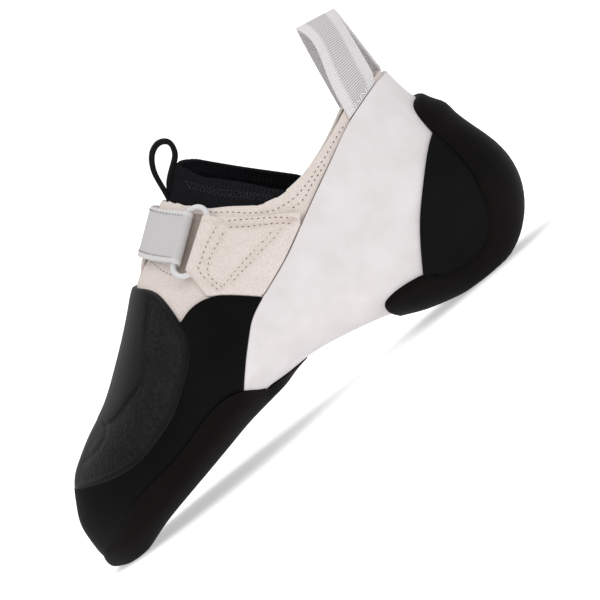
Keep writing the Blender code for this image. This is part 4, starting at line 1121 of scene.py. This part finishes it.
def panel_painted_shade(flat):
    """Painted shade along the sewn rows and below the turned ridge."""
    rows = np.exp(-((beside_rows(flat) / 0.0011) ** 2))
    below_ridge = np.exp(-(((under_ridge(flat) - 0.0032) / 0.0009) ** 2))
    return np.clip(0.55 * rows + 0.75 * below_ridge, 0, 1)


PANEL_SPAN, OUTER_TURN, INNER_TURN = (8.8, 17.3), (0.12, 0.47), (0.53, 0.88)
for side, turns, nodes in (("outer", OUTER_TURN, ("side_panel_outer", "ring_keeper")),
                           ("inner", INNER_TURN, ("side_panel_inner",))):
    cut_piece(f"side_panel_{side}_suede", SUEDE, PANEL_SPAN, turns, in_panel, panel_height,
              rim=(*rim_levels(PANEL_RIM), 0.0012, 0.0018, 0.0026), foot=INTO_SUEDE, step=0.0010,
              nodes=nodes, marks={"trough": panel_painted_shade})

# %% [markdown]
# Between the strap and the roll lies a strip of darker grey suede. Its dark colour is painted shade for the
# deep slit under the ring.
# %% Strip under the ring
STRIP_TOP, STRIP_LOW = 0.0140, -0.0135
under_corners = [seen_from_side(from_ring(a, c, -ring_lift))
                 for a, c in ((STRIP_TOP, -bar), (STRIP_TOP, bar), (STRIP_LOW, bar), (STRIP_LOW, -bar))]
cut_piece("ring_slit_shade_suede", SHADED_SUEDE, PANEL_SPAN, OUTER_TURN, line_on_last(under_corners),
          lambda u, v, reach: rounded(reach, 0.0004, 0.0003), rim=(0.0001, 0.0003))

# %% [markdown]
# ## Pull loops
# A thin tape stands up from the front of the tongue, and a wide webbing loop spans the heel opening.
# Both are strips on a path, like the strap.
# %% Tongue loop
TONGUE_LOOP = (
    (0.489, 0.905), (0.493, 0.950), (0.497, 1.001), (0.503, 1.036), (0.511, 1.061), (0.521, 1.079),
    (0.534, 1.088), (0.546, 1.082), (0.553, 1.064), (0.552, 1.040), (0.546, 1.017), (0.534, 0.997),
    (0.520, 0.977), (0.507, 0.954), (0.498, 0.928))
TAPE_WIDTH, TAPE_THICK = 0.008, 0.0023
tape_line = drawn(TONGUE_LOOP, 5)
tape_middle = last_point(14, 0.5)[1]
tape_paths = [[(np.array((x, y, z)), None) for x, z in tape_line]
              for y in tape_middle + np.linspace(-1, 1, 5) * TAPE_WIDTH / 2]
strip_on_path("tongue_loop_tape", TAPE, tape_paths, TAPE_WIDTH, TAPE_THICK, ("tongue_loop",))

# %% [markdown]
# The heel loop is a wide grosgrain webbing. Its feet are sewn to the two sides of the collar, and limp
# webbing never stands quite straight, so it bows and spreads a little.
# %% Heel loop
WEBBING_WIDTH, WEBBING_THICK = 0.0185, 0.0012
SPREAD, BOW = 0.0052, 0.0029
BOW_PEAK = 0.105  # the largest value of rise**3 * (1 - rise)


def heel_loop_path(share):
    """One line of the webbing, from its outer foot over the arch to its inner foot. The outer leg bows
    a little and the inner leg spreads, as soft webbing does."""
    def mix(a, b):
        return np.array(side_place(*a)) * (1 - share) + np.array(side_place(*b)) * share
    foot, collar = mix((0.8225, 0.745), (0.8955, 0.783)), mix((0.827, 0.800), (0.903, 0.815))
    top_x, top_z = mix((0.852, 1.092), (0.926, 1.062))
    legs = []
    for outer, back in ((True, 0.0), (False, SPREAD * share)):
        spots = [p + (back, 0) for p in (foot, (foot + collar) / 2, collar)]
        legs.append([off_last(*find_on_last(*p, outer), CLEARANCE + WEBBING_THICK / 2) for p in spots])
    arch = []
    for angle in np.radians(np.linspace(0, 180, 37))[1:-1]:
        start = legs[0][2] if angle <= math.pi / 2 else legs[1][2]
        rise = math.sin(angle) ** 0.85
        bow = BOW * (1 - share) * rise**3 * (1 - rise) / BOW_PEAK if angle < math.pi / 2 else 0
        arch.append(np.array([start[0] + (top_x - start[0]) * rise + bow, start[1] * abs(math.cos(angle)),
                              start[2] + (top_z - start[2]) * rise]))
    return [(p, None) for p in legs[0] + arch + legs[1][::-1]]


webbing_paths = [heel_loop_path(share) for share in np.linspace(0, 1, 13)][::-1]
strip_on_path("heel_loop_webbing", GROSGRAIN, webbing_paths, WEBBING_WIDTH, WEBBING_THICK,
              ("heel_loop",))

# %% [markdown]
# ## Stitching
# Thread shows as short dashes that dip into the suede. One small rounded stitch is modelled and
# repeated along each seam, two and a half millimetres apart, turned to follow the seam.
# %% Rows of stitches
def even_steps(body, outs, pitch):
    """Places, directions and outward normals at even steps along a path of points."""
    run = np.concatenate([[0], np.cumsum(np.linalg.norm(np.diff(body, axis=0), axis=1))])
    at = np.arange(pitch / 2, run[-1], pitch)
    spot, ahead, out = [np.stack([np.interp(x, run, values[:, k]) for k in range(3)], 1)
                        for x, values in ((at, body), (at + 1e-4, body), (at, outs))]
    return spot, unit(ahead - spot + 1e-12), unit(out)


def on_line(line, surface, outer=True):
    """The path of a drawn line over a surface, given by its distance from the last."""
    u, v = np.array([find_on_last(*p, outer) for p in drawn(line, 8)]).T
    return off_last(u, v, surface(u, v)), last_normal(u, v)


def sew(name, seams, finish, pitch=0.0025, length=0.0012, thick=0.0005, zigzag=0.0):
    """One piece with every stitch of these seams."""
    bm = bmesh.new()
    for body, outs in seams:
        for k, (spot, way, out) in enumerate(zip(*even_steps(body, outs, pitch))):
            way = unit(way + np.cross(out, way) * zigzag * (1 if k % 2 else -1))
            place = Matrix.Translation(spot) @ Matrix(np.stack([way, np.cross(out, way), out], 1)).to_4x4()
            shape = place @ Matrix.Diagonal((length / 2, thick / 2, thick / 2, 1))
            bmesh.ops.create_icosphere(bm, subdivisions=1, radius=1.0, matrix=shape)
    link_piece(bm, name, finish)


def both_sides(lines, surface):
    return [on_line(line, surface, outer) for line in lines for outer in (True, False)]


def panel_face(u, v):
    return panel_height(u, v, in_panel(on_sheet(u, v)))


def suede_face(u, v):
    return suede_height(u, v, np.full(len(u), 0.01))


def level_face(distance):
    return lambda u, v: np.full(len(u), distance)


print("a 50 mm seam has", int(0.050 / 0.0025), "stitches")

# %% [markdown]
# Stitches run along the collar and round the side panels. Their dark colour is painted shade for the
# stitch holes. The collar has its own row on each side, and the panels have double rows.
# %% Seams of the suede
COLLAR_ROW = (
    (0.529, 0.806), (0.540, 0.785), (0.560, 0.755), (0.580, 0.719), (0.601, 0.688), (0.621, 0.667),
    (0.643, 0.658), (0.664, 0.656), (0.685, 0.663), (0.701, 0.670), (0.724, 0.685), (0.746, 0.698),
    (0.772, 0.718), (0.799, 0.736), (0.813, 0.744))
INNER_ROW = (
    (0.529, 0.796), (0.552, 0.752), (0.588, 0.686), (0.606, 0.658), (0.632, 0.638), (0.656, 0.631),
    (0.692, 0.634), (0.714, 0.643), (0.748, 0.664), (0.790, 0.702), (0.813, 0.726))
SECOND_ROW = ((0.645, 0.634), (0.662, 0.630), (0.680, 0.637), (0.703, 0.656), (0.723, 0.669), (0.746, 0.686))
# The row beside the strap also paints the shadow under the strap's lower hem.
BESIDE_STRAP = ((0.391, 0.798), (0.396, 0.775), (0.402, 0.740), (0.410, 0.715))
suede_seams = [on_line(row, suede_face) for row in (COLLAR_ROW, SECOND_ROW, BESIDE_STRAP)]
suede_seams.append(on_line(INNER_ROW, suede_face, outer=False))
sew("collar_stitches", suede_seams, HOLE_SHADE_THREAD)
sew("panel_stitches", both_sides(PANEL_ROWS, panel_face), HOLE_SHADE_THREAD)

# %% [markdown]
# The knit stretches, so its seam has to stretch too. It is a band of three zigzag rows in charcoal
# thread.
# %% Zigzag of the tongue
SOCK_ROW = ((0.526, 0.929), (0.543, 0.888), (0.565, 0.836), (0.591, 0.785), (0.617, 0.732), (0.632, 0.700))
SOCK_ROWS = [[(x, z + shift) for x, z in SOCK_ROW] for shift in (-0.012, 0.0, 0.012)]
sew("tongue_zigzag", both_sides(SOCK_ROWS, level_face(-0.0024)), GREY_THREAD,
    pitch=0.0014, length=0.0016, thick=0.0004, zigzag=0.9)

# %% [markdown]
# The strap's two hems are sewn in white thread, drawn pale grey so that its colour also paints the shade
# between the stitches. The feet of the heel loop are held by a short, dense zigzag in white, which is
# called a bar tack.
# %% Hems and bar tacks
def strap_hem(across):
    """A seam on the strap's closed end, near one of its edges."""
    closed = strap_path(across)[-FREE_END - 1:][:19]
    outs = np.array([out for _, out in closed])
    return np.array([spot for spot, _ in closed]) + outs * (STRAP / 2 + 0.0001), outs


sew("strap_hem_stitches", [strap_hem(a) for a in (-0.82, 0.82)], PALE_THREAD_AND_SHADE, pitch=0.0021,
    length=0.0013, thick=0.0007, zigzag=0.35)
TACK = ((0.833, 0.762), (0.850, 0.772), (0.868, 0.782), (0.888, 0.791))
sew("heel_loop_bar_tack", both_sides([TACK], level_face(0.0017)), WHITE_THREAD,
    pitch=0.0022, length=0.0030, thick=0.0005, zigzag=1.3)

# %% [markdown]
# A thin dark line of painted shade runs along the front of the white rand, where the seam lies in shadow.
# It is a fine bead laid on the suede.
# %% Seam shade line
def lay_bead(name, seams, radius, finish):
    """A thin tube along each path: a strip of grid rolled round it."""
    bm = bmesh.new()
    for body, outs in seams:
        spot, way, out = even_steps(body, outs, 0.0015)
        start = len(bm.verts)
        bmesh.ops.create_grid(bm, x_segments=len(spot) - 1, y_segments=6, size=0.5)
        bm.verts.ensure_lookup_table()
        for vert in bm.verts[start:]:
            i, turn = round((vert.co.x + 0.5) * (len(spot) - 1)), (vert.co.y + 0.5) * 2 * math.pi
            round_way = out[i] * math.cos(turn) + np.cross(way[i], out[i]) * math.sin(turn)
            vert.co = spot[i] + round_way * radius
    bmesh.ops.remove_doubles(bm, verts=bm.verts, dist=1e-6)
    bmesh.ops.recalc_face_normals(bm, faces=bm.faces)
    link_piece(bm, name, finish)


def bead_height(u, v):
    """The bead lies on the side panel in front, and on the bare suede behind it."""
    return np.where(last_point(u, v)[:, 0] < side_place(0.652, 0)[0], 0.0014, 0.0002)


BEAD = ((0.512, 0.462), (0.540, 0.482), (0.575, 0.507), (0.640, 0.568), (0.700, 0.627), (0.753, 0.678),
        (0.823, 0.742), (0.862, 0.763))
lay_bead("seam_shade_line", both_sides([BEAD], bead_height), 0.00022, SEAM_SHADE_BEAD)

# %% [markdown]
# ## Floor
# The shoe stands on a wide sheet of white paper. The paper glows a little, so that it stays white right
# up to the horizon, as in a studio with lamps on its backdrop.
# %% Floor
FLOOR_REACH, FLOOR_DROP, PAPER_GLOW = 9, 0.00005, 0.47


def make_floor():
    bm = bmesh.new()
    drop = Matrix.Translation((0, 0, -FLOOR_DROP))
    bmesh.ops.create_grid(bm, x_segments=1, y_segments=1, size=FLOOR_REACH, matrix=drop)
    mesh = bpy.data.meshes.new("white_floor")
    bm.to_mesh(mesh)
    bm.free()
    place_object("white_floor", mesh)
    finish, _, shader = new_finish("white studio paper", 0.9, shine=0.2)
    shader.inputs["Base Color"].default_value = linear("#F6F6F6")
    shader.inputs["Emission Color"].default_value = linear("#FFFFFF")
    shader.inputs["Emission Strength"].default_value = PAPER_GLOW
    mesh.materials.append(finish)


make_floor()
print("floor:", 2 * FLOOR_REACH, "m wide")

# %% [markdown]
# Three softboxes and a bright sky give light from nearly everywhere. Shadows stay pale, and black
# rubber keeps only a faint shine.
# %% Light
def area_light(name, place, size, power):
    """A softbox that points at the middle of the shoe."""
    data = bpy.data.lights.new(name, "AREA")
    data.size, data.energy = size, power
    lamp = place_object(name, data)
    lamp.location = place
    lamp.rotation_euler = (SHOE_MIDDLE - Vector(place)).to_track_quat("-Z", "Y").to_euler()


SHOE_MIDDLE = Vector((-0.07, 0, 0.05))
area_light("key_softbox", (-1.0, -1.2, 1.5), 1.4, 10)
area_light("fill_softbox", (1.2, -1.3, 0.8), 1.4, 3.5)
area_light("top_softbox", (0.1, 0.3, 1.9), 1.8, 17)
world = bpy.data.worlds.new("studio")
world.use_nodes = True
sky = world.node_tree.nodes["Background"].inputs
sky["Color"].default_value = linear("#FFFFFF")
sky["Strength"].default_value = 0.55
bpy.context.scene.world = world
bpy.context.scene.view_settings.view_transform = "Standard"
print("sky strength:", sky["Strength"].default_value)

# %% [markdown]
# The camera looks at the outer side through a long lens, a little from above. It is rolled so that the
# toe points down, as such shoes are often shown for sale.
# %% Camera
ELEVATION, ROLL_ANGLE, DISTANCE = math.radians(5.0), math.radians(39.17), 6.0
PICTURE_PIXELS, PIXEL_SIZE = 600, 0.0004315  # how wide the picture is, and what one pixel shows in metres
VIEW_WIDTH = PICTURE_PIXELS * PIXEL_SIZE
target = Vector((-0.0708, 0.0, 0.0421))
data = bpy.data.cameras.new("camera")
data.sensor_width = 36
data.lens = data.sensor_width * DISTANCE / VIEW_WIDTH
data.clip_start, data.clip_end = 0.05, 30
camera = place_object("camera", data)
back, sideways = Vector((0, -math.cos(ELEVATION), math.sin(ELEVATION))), Vector((1, 0, 0))
level = Matrix((sideways, back.cross(sideways), back)).transposed()
turned = level @ Matrix.Rotation(-ROLL_ANGLE, 3, "Z")
camera.matrix_world = Matrix.Translation(target + back * DISTANCE) @ turned.to_4x4()
bpy.context.scene.camera = camera
print("lens:", round(data.lens), "mm")
